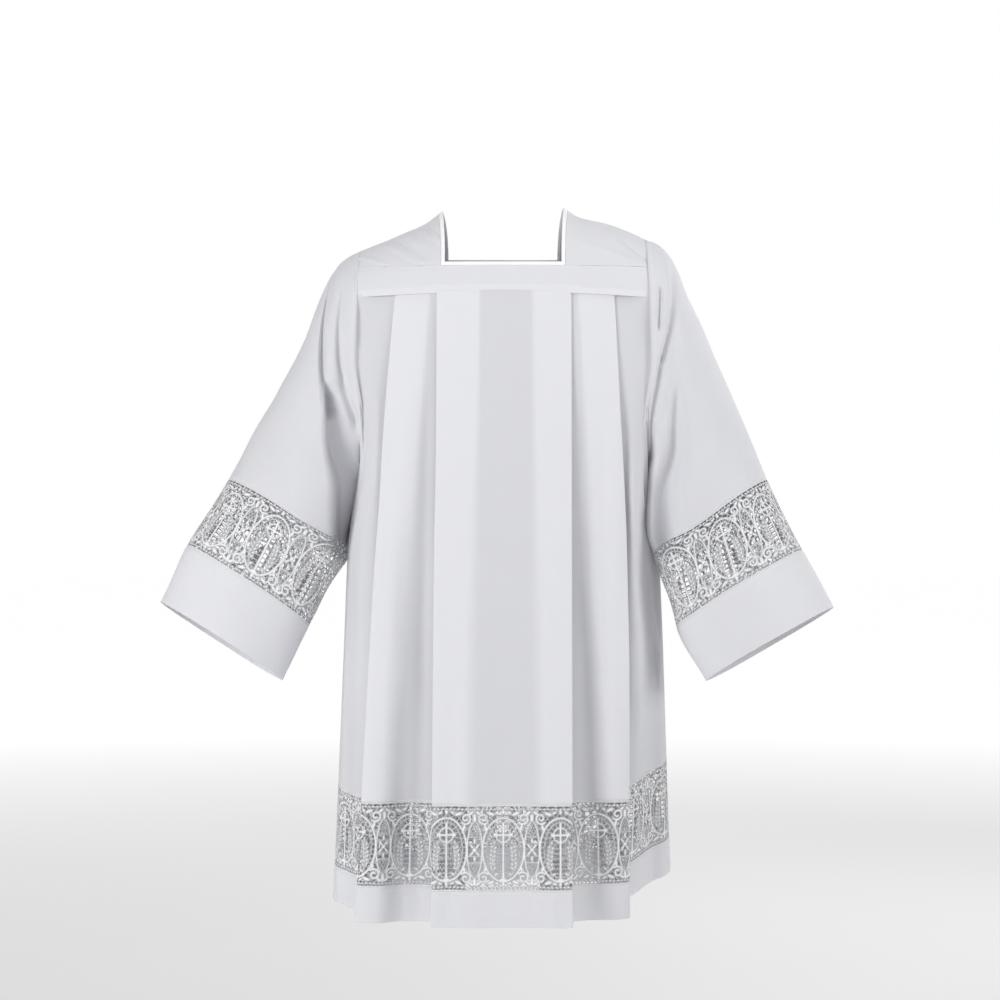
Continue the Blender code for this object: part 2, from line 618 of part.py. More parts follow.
def sleeve_grid(side, shares, turns):
    """Points of the sleeve: share 0 at the armhole, 1 at the cuff edge; turn 0 on top, a quarter in front."""
    rows = SLEEVE_ROWS[side]
    knots, _ = sleeve_lengths(side)
    table = np.array([row[1:] for row in rows], float) * MM
    top_x, top_z, under_x, under_z, half_depth, forward = smooth_rows(knots, table, shares).T[:, :, None]
    roundness = 2.0 + (ROUNDNESS - 2.0) * (1 - ease(shares, 0.0, 0.6))[:, None]
    angle = (2 * np.pi * turns)[None, :]
    lengthwise = signed_power(np.cos(angle), 2 / roundness)
    depthwise = signed_power(np.sin(angle), 2 / roundness)
    x = (top_x + under_x) / 2 + (top_x - under_x) / 2 * lengthwise
    z = (top_z + under_z) / 2 + (top_z - under_z) / 2 * lengthwise
    y = -forward - half_depth * depthwise
    first = (1 - ease(shares, 0.0, 0.12))[:, None]
    armhole_reach = np.where(depthwise > 0, reach(ARMHOLE_X, FRONT), reach(ARMHOLE_X, BACK))
    y = y * (1 - first) - first * armhole_reach * depthwise
    tilt = SLEEVE_TILT * ease(shares, 0.2, 0.6)[:, None] * half_depth * depthwise
    length = np.hypot(top_x - under_x, top_z - under_z)
    x = x - tilt * (top_z - under_z) / length
    z = z + tilt * (top_x - under_x) / length
    points = np.stack([side * x, y, z], axis=-1)
    from_middle = np.abs(depthwise) ** 1.5
    points[..., 1] += fold_depth(side, points, shares[:, None]) * from_middle
    points[..., 0] += side * SEAM_GAP * first
    return points


def sleeve_direction(side, share):
    """Direction square to the section's plane, towards the cuff. The front of the section is drawn up."""
    knots, _ = sleeve_lengths(side)
    table = np.array([row[1:] for row in SLEEVE_ROWS[side]], float) * MM
    top_x, top_z, under_x, under_z, _, _ = smooth_rows(knots, table, np.array([share]))[0]
    length = np.hypot(top_x - under_x, top_z - under_z)
    tilt = SLEEVE_TILT * ease(share, 0.2, 0.6)
    return np.array([side * (top_z - under_z) / length, -tilt, (under_x - top_x) / length])


def build_sleeve(side, word):
    knots, length = sleeve_lengths(side)
    names = [row.name for row in SLEEVE_ROWS[side]]
    lace_start, lace_end = knots[names.index("lace_top")], knots[names.index("lace_end")]
    gap = SEAM_GAP / length * 1.25
    turns = np.arange(SLEEVE_AROUND) / SLEEVE_AROUND

    shares = np.concatenate([np.linspace(0, 0.3, 6)[:-1], np.linspace(0.3, lace_start, 6)])
    edges = ((ROW_FIRST, (1, 0, 0)), (ROW_LAST, sleeve_direction(side, lace_start)))
    grid = sleeve_grid(side, shares, turns)
    build_shell("sleeve_" + word, *shell_faces(grid, WALL, wrap=True, edge_axes=edges), wrap=True)

    shares = np.array([lace_end + gap, 1.0])
    edges = ((ROW_FIRST, sleeve_direction(side, lace_end)), (ROW_LAST, sleeve_direction(side, 1.0)))
    grid = sleeve_grid(side, shares, turns)
    build_shell("cuff_" + word, *shell_faces(grid, WALL, wrap=True, edge_axes=edges), wrap=True)

    split = SEAM_GAP / 0.5 * 1.1
    for start, part in ((0.0, "front"), (0.5, "back")):
        turns = np.linspace(start + split, start + 0.5 - split, SLEEVE_AROUND // 2 + 1)
        grid = sleeve_grid(side, np.array([lace_start + gap, lace_end]), turns)
        edges = (
            (ROW_FIRST, sleeve_direction(side, lace_start)), (ROW_LAST, sleeve_direction(side, lace_end)),
            (COLUMN_FIRST, (0, 1, 0)), (COLUMN_LAST, (0, 1, 0)),
        )
        outer, inner = shell_faces(grid, WALL, edge_axes=edges)
        build_lace("sleeve_lace_%s_%s" % (word, part), outer, inner, lambda along, middle: along[-1] / 2)


def main():
    for piece in list(bpy.data.objects):
        bpy.data.objects.remove(piece, do_unlink=True)
    for facing, word in ((FRONT, "front"), (BACK, "back")):
        build_yoke(facing, word)
    for side, word in ((LEFT, "left"), (RIGHT, "right")):
        build_shoulder(side, word)
        build_sleeve(side, word)
    build_neck_binding()
    build_skirt()


if __name__ == "__main__":
    main()
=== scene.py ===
"""Looks of the square-necked pleated surplice: cloth, lace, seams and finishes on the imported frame.

Lengths are metres, and tables are in millimetres where they say so. The cloth follows the same cut as the
solids: yokes and shoulders on one rounded surface, a skirt laid in outward pleats, and two wide sleeves.
"""
from __future__ import annotations

import logging
import math
from dataclasses import dataclass, field
from enum import IntEnum
from typing import Sequence, Union

import bpy
import numpy as np
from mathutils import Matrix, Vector

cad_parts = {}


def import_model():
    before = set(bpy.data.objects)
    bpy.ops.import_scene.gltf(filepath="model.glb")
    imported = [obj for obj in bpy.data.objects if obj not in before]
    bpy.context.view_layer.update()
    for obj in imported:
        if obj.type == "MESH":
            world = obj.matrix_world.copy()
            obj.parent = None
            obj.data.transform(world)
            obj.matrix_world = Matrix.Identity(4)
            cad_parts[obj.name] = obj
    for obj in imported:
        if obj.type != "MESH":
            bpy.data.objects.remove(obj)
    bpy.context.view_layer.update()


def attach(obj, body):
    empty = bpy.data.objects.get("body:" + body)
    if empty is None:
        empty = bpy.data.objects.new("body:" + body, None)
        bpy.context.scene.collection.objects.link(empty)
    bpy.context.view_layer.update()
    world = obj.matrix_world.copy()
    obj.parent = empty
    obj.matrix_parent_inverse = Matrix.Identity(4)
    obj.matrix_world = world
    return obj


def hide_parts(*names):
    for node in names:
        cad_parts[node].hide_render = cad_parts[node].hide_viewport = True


Array = np.ndarray
MM = 0.001
LOG = logging.getLogger("surplice")
# Waves of a ripple: how many, about their greatest sum, and the turn from one to the next in radians.
RIPPLE_WAVES = 5
RIPPLE_PEAK = 2.2
GOLDEN_TURN = 2.399


class Side(IntEnum):
    """Side of the garment, as seen from the front."""

    LEFT = -1
    RIGHT = 1


class Facing(IntEnum):
    """Which way a panel looks along Y."""

    FRONT = -1
    BACK = 1


# ---- small numeric helpers


def ease(value: Array, start: float, end: float) -> Array:
    """Smooth step.

    Args:
        value: where to evaluate.
        start: the step is 0 up to here.
        end: the step is 1 from here on.

    Returns:
        Values from 0 to 1.
    """
    t = np.clip((value - start) / (end - start), 0.0, 1.0)
    return t * t * (3 - 2 * t)


def signed_power(value: Array, power: Array) -> Array:
    """Power that keeps the sign of its base."""
    return np.sign(value) * np.abs(value) ** power


def smooth_table(knots: Array, values: Array, at: Array) -> Array:
    """Monotone cubic interpolation down the rows of a table, each column on its own.

    Args:
        knots: positions of the table's rows, rising.
        values: table of shape (rows, columns).
        at: positions to evaluate, of shape (samples, columns) or (samples, 1).

    Returns:
        Array of shape (samples, columns).
    """
    spans = np.diff(knots)[:, None]
    chords = np.diff(values, axis=0) / spans
    slopes = np.concatenate([chords[:1], np.zeros_like(chords[1:]), chords[-1:]])
    before, after = chords[:-1], chords[1:]
    rising = before * after > 0
    slopes[1:-1] = np.where(rising, 2 * before * after / np.where(rising, before + after, 1.0), 0.0)
    at = np.broadcast_to(np.clip(at, knots[0], knots[-1]), (at.shape[0], values.shape[1]))
    cell = np.clip(np.searchsorted(knots, at, side="right") - 1, 0, len(knots) - 2)
    span = np.diff(knots)[cell]
    t = (at - knots[cell]) / span
    low, high = np.take_along_axis(values, cell, 0), np.take_along_axis(values, cell + 1, 0)
    start = np.take_along_axis(slopes, cell, 0) * span
    end = np.take_along_axis(slopes, cell + 1, 0) * span
    return (low * (1 + 2 * t) * (1 - t) ** 2 + start * t * (1 - t) ** 2
            + high * t ** 2 * (3 - 2 * t) - end * t ** 2 * (1 - t))


def lengths_along(points: Array) -> Array:
    """Running length of a line of points, from 0."""
    steps = np.linalg.norm(np.diff(points, axis=0), axis=-1)
    return np.concatenate([[0.0], np.cumsum(steps)])


def unit(vectors: Array) -> Array:
    """Vectors scaled to length 1."""
    return vectors / np.maximum(np.linalg.norm(vectors, axis=-1, keepdims=True), 1e-12)


def sampled(at: Array, run: Array, values: Array) -> Array:
    """Columns of a table, read at running lengths between its rows."""
    return np.stack([np.interp(at, run, column) for column in values.T], axis=-1)


def grid_normals(points: Array, wrap: bool) -> Array:
    """Unit normals of a grid, from the cross product of its central differences.

    Args:
        points: grid of shape (rows, columns, 3).
        wrap: whether the last column meets the first.

    Returns:
        Normals of the same shape.
    """
    if wrap:
        across = np.roll(points, -1, axis=1) - np.roll(points, 1, axis=1)
    else:
        across = np.gradient(points, axis=1)
    return unit(np.cross(across, np.gradient(points, axis=0)))


def ripple(u: Array, v: Array, size: float, seed: float) -> Array:
    """Uneven soft relief from -1 to 1: a sum of sine waves whose lengths and directions don't repeat.

    Args:
        u: first coordinate, in metres.
        v: second coordinate, in metres.
        size: length of the main wave, in metres.
        seed: shifts the waves.

    Returns:
        Relief at each point.
    """
    total = np.zeros(np.broadcast(u, v).shape)
    for number in range(1, RIPPLE_WAVES + 1):
        turn = seed * 1.7 + number * GOLDEN_TURN
        wave = 2 * math.pi / size * (0.7 + 0.31 * number)
        total += np.sin(wave * (u * math.cos(turn) + v * math.sin(turn)) + seed * 5.1 + number * 1.3) / number
    return total / RIPPLE_PEAK


# ---- node graphs


Value = Union["Socket", float, tuple]


class Socket:
    """Output of a shader node that can be used in Python arithmetic."""

    def __init__(self, graph: "Graph", link: bpy.types.NodeSocket) -> None:
        self.graph = graph
        self.link = link

    def math(self, operation: str, *others: Value) -> "Socket":
        """Applies a math node to this socket and others."""
        return self.graph.node("ShaderNodeMath", {"operation": operation}, dict(enumerate((self, *others))))

    def __add__(self, other: Value) -> "Socket":
        return self.math("ADD", other)

    def __sub__(self, other: Value) -> "Socket":
        return self.math("SUBTRACT", other)

    def __mul__(self, other: Value) -> "Socket":
        return self.math("MULTIPLY", other)

    __radd__, __rmul__ = __add__, __mul__

    def sine(self) -> "Socket":
        """Sine of the value."""
        return self.math("SINE")


class Graph:
    """Builds the node tree of one material."""

    def __init__(self, name: str) -> None:
        self.material = bpy.data.materials.new(name)
        self.material.use_nodes = True
        self.tree = self.material.node_tree
        self.shader = self.tree.nodes["Principled BSDF"]

    def node(self, kind: str, settings: dict | None = None, values: dict | None = None,
             output: Union[int, str] = 0) -> Socket:
        """Adds a node.

        Args:
            kind: node type.
            settings: node properties to set.
            values: inputs by name or number, each a constant or a Socket to link.
            output: which output to return.

        Returns:
            The chosen output.
        """
        made = self.tree.nodes.new(kind)
        for key, value in (settings or {}).items():
            setattr(made, key, value)
        for key, value in (values or {}).items():
            self.feed(made.inputs[key], value)
        return Socket(self, made.outputs[output])

    def feed(self, target: bpy.types.NodeSocket, value: Value) -> None:
        """Links a Socket to an input, or sets a constant on it."""
        if isinstance(value, Socket):
            self.tree.links.new(value.link, target)
        else:
            target.default_value = value

    def attribute(self, name: str, output: str = "Fac") -> Socket:
        """Reads a mesh attribute."""
        return self.node("ShaderNodeAttribute", {"attribute_name": name}, output=output)

    def grain(self) -> tuple[Socket, Socket, Socket]:
        """Flat place on the cloth: as a vector, across it and along it."""
        place = self.attribute("grain", "Vector")
        across = self.node("ShaderNodeSeparateXYZ", {}, {0: place})
        return place, across, Socket(self, across.link.node.outputs[1])

    def bump(self, strength: float, distance: float, height: Value) -> Socket:
        """Normal that follows a height."""
        return self.node("ShaderNodeBump", {}, {"Strength": strength, "Distance": distance, "Height": height})

    def mix(self, factor: Value, low: tuple, high: tuple) -> Socket:
        """Mixes two colours."""
        return self.node("ShaderNodeMix", {"data_type": "RGBA"}, {0: factor, 6: low, 7: high}, 2)

    def noise(self, vector: Socket, scale: float, detail: float = 3.0) -> Socket:
        """Noise texture value."""
        return self.node("ShaderNodeTexNoise", {}, {"Vector": vector, "Scale": scale, "Detail": detail})

    def stretched(self, vector: Socket, scale: tuple) -> Socket:
        """Coordinates multiplied on each axis."""
        return self.node("ShaderNodeMapping", {}, {"Vector": vector, "Scale": scale})

    def finish(self, values: dict) -> bpy.types.Material:
        """Feeds the Principled shader and returns the material."""
        for key, value in values.items():
            self.feed(self.shader.inputs[key], value)
        return self.material


@dataclass(frozen=True)
class ClothFinish:
    """Fine plain-woven polyester and cotton, whiter where it lies double.

    slub_counts are the slubs in a metre across and along a thread, and blotches the soft mottle's in a metre.
    """

    name: str = "cloth"
    single: tuple = (0.64, 0.643, 0.675, 1.0)
    double: tuple = (0.73, 0.733, 0.765, 1.0)
    thread: float = 0.45 * MM
    weave_depth: float = 0.05 * MM
    slub: float = 0.035
    slub_counts: tuple = (1900.0, 45.0)
    blotches: float = 34.0

    def build(self) -> bpy.types.Material:
        """Makes the material.

        Returns:
            Weave from two crossing thread waves, long slubs along both threads, and a soft mottle; the colour
            goes from single to double cloth by the `backing` attribute.
        """
        graph = Graph(self.name)
        grain, across, along = graph.grain()
        wave = 2 * math.pi / self.thread
        weave = (across * wave).sine() * (along * wave).sine()
        close, apart = self.slub_counts
        warp = graph.noise(graph.stretched(grain, (close, apart, 1.0)), 1.0, 2.0)
        weft = graph.noise(graph.stretched(grain, (apart, close, 1.0)), 1.0, 2.0)
        mottle = graph.noise(grain, self.blotches)
        threads = (warp - 0.5) + (weft - 0.5)
        level = graph.attribute("backing") + threads * 2.2 * self.slub + (mottle - 0.5) * 0.22
        return graph.finish({
            "Base Color": graph.mix(level, self.single, self.double),
            "Normal": graph.bump(0.5, self.weave_depth, weave * 0.35 + threads * 1.6 + mottle * 0.5),
            "Roughness": 0.82 + (mottle - 0.5) * 0.12,
            "Sheen Weight": 0.25, "Sheen Roughness": 0.5, "Specular IOR Level": 0.25,
        })


@dataclass(frozen=True)
class LaceFinish:
    """Chemical lace of close-stitched thread, brighter on its raised cords.

    The thread itself is white. ground is a grey that stands in for the dark that would show between the low
    threads; bring it up to cord for the thread's own colour.
    """

    name: str = "lace"
    ground: tuple = (0.44, 0.445, 0.465, 1.0)
    cord: tuple = (0.88, 0.88, 0.89, 1.0)
    stitch: float = 0.9 * MM
    depth: float = 0.12 * MM

    def build(self) -> bpy.types.Material:
        """Makes the material.

        Returns:
            Slanting stitches as waves across the grain, with the colour going by the `raised` attribute.
        """
        graph = Graph(self.name)
        grain, across, along = graph.grain()
        wave = 2 * math.pi / self.stitch
        stitches = ((across * 0.5 + along) * wave).sine()
        crossing = ((across * 0.8 - along * 0.6) * wave).sine()
        fuzz = graph.noise(grain, 900.0, 2.0)
        level = graph.attribute("raised") * 1.5 - 0.5 + (fuzz - 0.5) * 0.3 + stitches * 0.06
        return graph.finish({
            "Base Color": graph.mix(level, self.ground, self.cord), "Roughness": 0.7 + fuzz * 0.15,
            "Normal": graph.bump(0.6, self.depth, stitches * 0.5 + crossing * 0.3 + fuzz),
            "Sheen Weight": 0.3, "Specular IOR Level": 0.35,
        })


@dataclass(frozen=True)
class ThreadFinish:
    """White sewing thread with a slight lustre."""

    name: str = "thread"
    hollow: tuple = (0.78, 0.79, 0.82, 1.0)
    colour: tuple = (0.88, 0.88, 0.90, 1.0)

    def build(self) -> bpy.types.Material:
        """Makes the material: twisted thread as a fine noise in height and colour."""
        graph = Graph(self.name)
        twist = graph.noise(graph.node("ShaderNodeTexCoord", output="Object"), 2600.0, 1.0)
        return graph.finish({
            "Base Color": graph.mix(twist, self.hollow, self.colour), "Roughness": 0.5 + twist * 0.1,
            "Normal": graph.bump(0.4, 0.05 * MM, twist),
        })


# ---- meshes


@dataclass
class Patch:
    """Grid of cloth: its middle surface, and where each point lies on the flat cloth.

    Args:
        points: shape (rows, columns, 3).
        grain: flat position in metres, shape (rows, columns, 2).
        backing: 0 where the cloth lies single, 1 where it lies double.
        wrap: whether the last column meets the first.
    """

    points: Array
    grain: Array
    backing: Array
    wrap: bool = False

    def shell(self, name: str, wall: float, material: bpy.types.Material) -> bpy.types.Object:
        """Makes a thin closed wall round the middle surface.

        Args:
            name: object name.
            wall: thickness.
            material: finish.

        Returns:
            The new object.
        """
        rows, columns = self.points.shape[:2]
        half = grid_normals(self.points, self.wrap) * wall / 2
        vertices = np.concatenate([(self.points + half).reshape(-1, 3), (self.points - half).reshape(-1, 3)])
        count = rows * columns
        index = np.arange(count).reshape(rows, columns)
        ring = np.concatenate([index, index[:, :1]], axis=1) if self.wrap else index
        outer = np.stack([ring[:-1, :-1], ring[:-1, 1:], ring[1:, 1:], ring[1:, :-1]], axis=-1).reshape(-1, 4)
        faces = [outer[:, ::-1], outer + count]
        rims = [(ring[0], False), (ring[-1], True)]
        if not self.wrap:
            rims += [(ring[:, 0], True), (ring[:, -1], False)]
        for rim, turned in rims:
            quads = np.stack([rim[:-1], rim[1:], rim[1:] + count, rim[:-1] + count], axis=-1)
            faces.append(quads[:, ::-1] if turned else quads)
        extra = {"grain": np.tile(np.pad(self.grain.reshape(-1, 2), ((0, 0), (0, 1))), (2, 1)),
                 "backing": np.tile(self.backing.reshape(-1), 2)}
        return make_mesh(name, vertices, np.concatenate(faces), extra, material)

    def flipped(self, columns: slice) -> "Patch":
        """Same patch with its columns taken in another order, so that its outward side turns round."""
        return Patch(self.points[:, columns], self.grain[:, columns], self.backing[:, columns], self.wrap)

    def swell(self, heights: Array) -> "Patch":
        """Same patch moved outwards by a height at each point."""
        points = self.points + grid_normals(self.points, self.wrap) * heights[..., None]
        return Patch(points, self.grain, self.backing, self.wrap)

    def line_at(self, row: int) -> "StitchLine":
        """Stitch line along a row."""
        points, normals = self.points[row], grid_normals(self.points, self.wrap)[row]
        if self.wrap:
            points, normals = (np.concatenate([a, a[:1]]) for a in (points, normals))
        return StitchLine(points, normals)

    def tallest(self) -> float:
        """Length of the longest column."""
        return float(np.linalg.norm(np.diff(self.points, axis=0), axis=-1).sum(axis=0).max())

    def area(self) -> float:
        """Area of the middle surface, in square metres."""
        ring = np.concatenate([self.points, self.points[:, :1]], axis=1) if self.wrap else self.points
        first = np.cross(ring[:-1, 1:] - ring[:-1, :-1], ring[1:, :-1] - ring[:-1, :-1])
        last = np.cross(ring[:-1, 1:] - ring[1:, 1:], ring[1:, :-1] - ring[1:, 1:])
        return float(np.linalg.norm(first, axis=-1).sum() + np.linalg.norm(last, axis=-1).sum()) / 2


def ring_mesh(name: str, grid: Array, run: Array, material: bpy.types.Material) -> bpy.types.Object:
    """Closed tube from a profile carried round a loop.

    Args:
        name: object name.
        grid: shape (profile points, loop points, 3); both ways it meets itself.
        run: running length along the loop.
        material: finish.

    Returns:
        The new object.
    """
    rows, columns = grid.shape[:2]
    index = np.arange(rows * columns).reshape(rows, columns)
    below, after = np.roll(index, -1, axis=0), np.roll(index, -1, axis=1)
    faces = np.stack([index, below, np.roll(below, -1, axis=1), after], axis=-1).reshape(-1, 4)
    place = np.stack(np.broadcast_arrays(run[None, :], np.arange(rows)[:, None] * 0.0008, 0.0), axis=-1)
    extra = {"grain": place.reshape(-1, 3), "backing": np.full(rows * columns, 1.0)}
    return make_mesh(name, grid.reshape(-1, 3), faces, extra, material)


def make_mesh(name: str, vertices: Array, faces: Array, extra: dict[str, Array],
              material: bpy.types.Material) -> bpy.types.Object:
    """Makes an object from arrays.

    Args:
        name: object and mesh name.
        vertices: shape (n, 3).
        faces: shape (m, 3) or (m, 4).
        extra: point attributes by name, one number or a vector for each vertex.
        material: finish of the whole mesh.

    Returns:
        The new object, linked and shaded smooth.
    """
    mesh = bpy.data.meshes.new(name)
    corners = faces.shape[1]
    mesh.vertices.add(len(vertices))
    mesh.vertices.foreach_set("co", np.ascontiguousarray(vertices, np.float32).ravel())
    mesh.loops.add(faces.size)
    mesh.loops.foreach_set("vertex_index", np.ascontiguousarray(faces, np.int32).ravel())
    mesh.polygons.add(len(faces))
    mesh.polygons.foreach_set("loop_start", np.arange(0, faces.size, corners, dtype=np.int32))
    mesh.polygons.foreach_set("loop_total", np.full(len(faces), corners, np.int32))
    mesh.update(calc_edges=True)
    mesh.validate()
    mesh.polygons.foreach_set("use_smooth", np.ones(len(mesh.polygons), bool))
    for key, values in extra.items():
        if values.ndim == 1:
            layer, label = mesh.attributes.new(key, "FLOAT", "POINT"), "value"
        else:
            layer, label = mesh.attributes.new(key, "FLOAT_VECTOR", "POINT"), "vector"
        layer.data.foreach_set(label, np.ascontiguousarray(values, np.float32).ravel())
    mesh.materials.append(material)
    piece = bpy.data.objects.new(name, mesh)
    bpy.context.scene.collection.objects.link(piece)
    return piece


# ---- form of the yokes and shoulders


@dataclass(frozen=True)
class ArmholePull:
    """Draws in the cloth beside a front armhole, in metres.

    Args:
        size: greatest shift.
        outer: distance from the centre at which it is gone.
        end: drops over which it dies away.
    """

    size: float
    outer: float
    end: tuple


ARMHOLE_PULLS = {
    Side.LEFT: ArmholePull(13 * MM, 0.225, (0.30, 0.44)),
    Side.RIGHT: ArmholePull(11 * MM, 0.242, (0.43, 0.56)),
}


@dataclass(frozen=True)
class TorsoForm:
    """Rounded surface of the yokes and shoulders: at each x, half of a flattened oval from front to back."""

    armhole_x: float = 188 * MM
    armhole_spread: float = 8 * MM
    middle_z: float = -172 * MM
    underarm_z: float = -323 * MM
    shoulder_line: tuple = (
        (74, 32.5), (80, 28.8), (88, 23.1), (96, 17.5), (104, 13.6), (128, 5.9), (160, -5.9), (188, -18.1),
    )
    shoulder_lean: tuple = ((0, 0), (85, 2.5), (150, 8.2), (188, 7.6))
    roundness: float = 2.6
    reach_centre: dict = field(default_factory=lambda: {Facing.FRONT: 130 * MM, Facing.BACK: 122 * MM})
    reach_side: dict = field(default_factory=lambda: {Facing.FRONT: 118 * MM, Facing.BACK: 112 * MM})
    yoke_seam: float = -87.5 * MM
    yoke_seam_drop: float = 6 * MM
    neck_half: float = 74 * MM
    neck_spread: float = 4.5 * MM
    binding: float = 5 * MM
    neck_edge: dict = field(default_factory=lambda: {Facing.FRONT: -48 * MM, Facing.BACK: -24 * MM})

    def ridge_z(self, x: Array) -> Array:
        """Height of the shoulder line: a table of heights in mm, plus or minus a table of how it leans."""
        x = np.asarray(x, float)
        line, lean = (np.array(table, float) * MM for table in (self.shoulder_line, self.shoulder_lean))
        across = np.abs(x).reshape(-1, 1)
        height = smooth_table(line[:, 0], line[:, 1:], across)
        height += smooth_table(lean[:, 0], lean[:, 1:], across) * np.sign(x).reshape(-1, 1)
        return height.reshape(x.shape)

    def neck_x(self, share: Array) -> Array:
        """Half width of the neck line from front corner to back: it spreads over the shoulder."""
        return self.neck_half + self.neck_spread * np.sin(math.pi * share) ** 2

    def reach(self, x: Array, facing: Facing) -> Array:
        """Greatest distance of the surface from the middle, in front or behind."""
        across = np.minimum(np.abs(x) / self.armhole_x, 1.0) ** 2
        return self.reach_centre[facing] + (self.reach_side[facing] - self.reach_centre[facing]) * across

    def surface_y(self, x: Array, z: Array, facing: Facing) -> Array:
        """Y of the surface at x and z."""
        rise = np.abs((z - self.middle_z) / (self.ridge_z(x) - self.middle_z))
        depth = np.maximum(1 - rise ** self.roundness, 0.0) ** (1 / self.roundness)
        return facing * self.reach(x, facing) * depth

    def over_shoulder(self, x: Array, angle: Array) -> Array:
        """Point at x and at an angle from the ridge, negative in front."""
        depth = np.where(angle < 0, self.reach(x, Facing.FRONT), self.reach(x, Facing.BACK))
        height = self.ridge_z(x) - self.middle_z
        y = depth * signed_power(np.sin(angle), 2 / self.roundness)
        z = self.middle_z + height * signed_power(np.cos(angle), 2 / self.roundness)
        return np.stack(np.broadcast_arrays(x, y, z), axis=-1)

    def angle_at(self, x: Array, z: Array, facing: Facing) -> Array:
        """Angle from the ridge at which the surface reaches height z."""
        rise = (z - self.middle_z) / (self.ridge_z(x) - self.middle_z)
        return facing * np.arccos(np.clip(rise, 0.0, 1.0) ** (self.roundness / 2))

    def seam_z(self, x: Array) -> Array:
        """Height of the seam between yoke and skirt."""
        return self.yoke_seam - self.yoke_seam_drop * (x / self.armhole_x) ** 2

    def yoke_top(self, facing: Facing) -> float:
        """Height of the seam between yoke and shoulder pieces."""
        return self.neck_edge[facing] - self.binding

    def armhole_edge_x(self, z: Array, side: Array) -> Array:
        """X of the armhole edge at height z."""
        top = self.ridge_z(side * self.armhole_x)
        return side * (self.armhole_x + self.armhole_spread * (top - z) / (top - self.underarm_z))

    def pulled(self, points: Array) -> Array:
        """Same points with the cloth beside the front armholes drawn in towards the centre, by up to 13 mm.

        The pull is a product of smooth steps: in across x about the seam, down from the chest and forwards.
        """
        x, y, z = np.abs(points[..., 0]), points[..., 1], points[..., 2]
        sign, shift = np.sign(points[..., 0]), np.zeros(x.shape)
        for side, pull in ARMHOLE_PULLS.items():
            across = ease(x, 0.15, 0.186) * (1 - ease(x, 0.198, pull.outer))
            down = ease(-z, 0.165, 0.255) * (1 - ease(-z, *pull.end))
            shift = np.where(sign == side, pull.size * across * down * ease(-y, 0.02, 0.09), shift)
        return np.stack([points[..., 0] - sign * shift, y, z], axis=-1)

    def armhole_point(self, share: Array, side: Array, facing: Facing) -> Array:
        """Point of the armhole edge: share 0 at the yoke's corner, 1 at the underarm."""
        x = side * self.armhole_x
        corner = np.abs(self.angle_at(x, self.seam_z(self.armhole_x), facing))
        angle = corner + (math.pi - corner) * share
        top = self.ridge_z(x)
        height = np.where(angle < math.pi / 2, top - self.middle_z, self.middle_z - self.underarm_z)
        z = self.middle_z + height * signed_power(np.cos(angle), 2 / self.roundness)
        y = self.reach(x, facing) * np.abs(np.sin(angle)) ** (2 / self.roundness)
        return np.stack([self.armhole_edge_x(z, side), facing * y, z], axis=-1)


TORSO = TorsoForm()


# ---- form of the skirt


@dataclass(frozen=True)
class Crease:
    """One line of a pleat, in mm: x at yoke, chest, waist and hem, and y at chest, waist and hem.

    A fold turns the cloth back under itself. layer counts the cloths in front of it at the yoke, and lift is
    how far the hem is raised there.
    """

    name: str
    fold: bool
    x: tuple
    y: tuple
    layer: int
    lift: float


# Name of each crease, whether it is a fold, and its layer: the same in every half panel.
CREASE_KINDS = (
    ("inner_edge", True, 0), ("inner_tuck", True, 1),
    ("valley", False, 2), ("ridge", False, 2),
    ("outer_edge", True, 2), ("outer_tuck", True, 3),
    ("side", False, 4), ("armhole", False, 0),
)


def pleated(*rows: tuple) -> tuple[Crease, ...]:
    """Creases of half a panel, from the centre outwards.

    Args:
        rows: x, y and lift of each crease, in the order of CREASE_KINDS.

    Returns:
        The creases.
    """
    return tuple(Crease(name, fold, x, y, layer, lift)
                 for (name, fold, layer), (x, y, lift) in zip(CREASE_KINDS, rows))


FRONT_LEFT = pleated(
    ((84, 84, 87, 89), (136.0, 152, 190), 0),
    ((29, 31, 38, 48), (133.2, 147, 172), 0),
    ((94, 97, 116, 125), (129.8, 136, 144), 0),
    ((118, 130, 145, 160), (129.4, 144, 158), 0),
    ((137, 148, 164, 186), (128.4, 140, 150), 0),
    ((93, 102, 120, 145), (125.6, 133, 118), 0),
    ((152, 160, 177, 188), (122.0, 122, 76), 1),
    ((188, 184, 195, 209), (117.0, 94, 45), 4),
)
FRONT_RIGHT = pleated(
    ((86, 86, 86, 86), (136.0, 152, 190), 0),
    ((38, 38, 42, 46), (133.2, 147, 172), 0),
    ((97, 99, 105, 113), (129.8, 134, 139), 0),
    ((120, 127, 136, 141), (129.4, 142, 136), 0),
    ((141, 147, 158, 160), (128.4, 138, 125), 0),
    ((95, 102, 116, 124), (125.6, 130, 100), 2),
    ((158, 163, 174, 165), (122.0, 118, 60), 18),
    ((188, 184, 194, 198), (117.0, 86, 16), 31),
)
BACK_HALF = pleated(
    ((85, 86, 88, 92), (128.0, 138, 166), 0),
    ((35, 38, 44, 50), (125.2, 133, 150), 0),
    ((96, 100, 112, 122), (121.6, 124, 132), 0),
    ((118, 126, 142, 152), (121.2, 130, 142), 0),
    ((139, 147, 160, 176), (120.6, 127, 136), 0),
    ((102, 108, 121, 138), (117.8, 120, 108), 0),
    ((154, 161, 176, 188), (116.0, 111, 82), 0),
    ((188, 184, 195, 207), (111.0, 86, 44), 0),
)


@dataclass(frozen=True)
class SideSeam:
    """Side seam, in mm: x at yoke, chest, waist and hem, y at the hem, and how far the hem is raised."""

    x: tuple
    y_hem: float
    lift: float


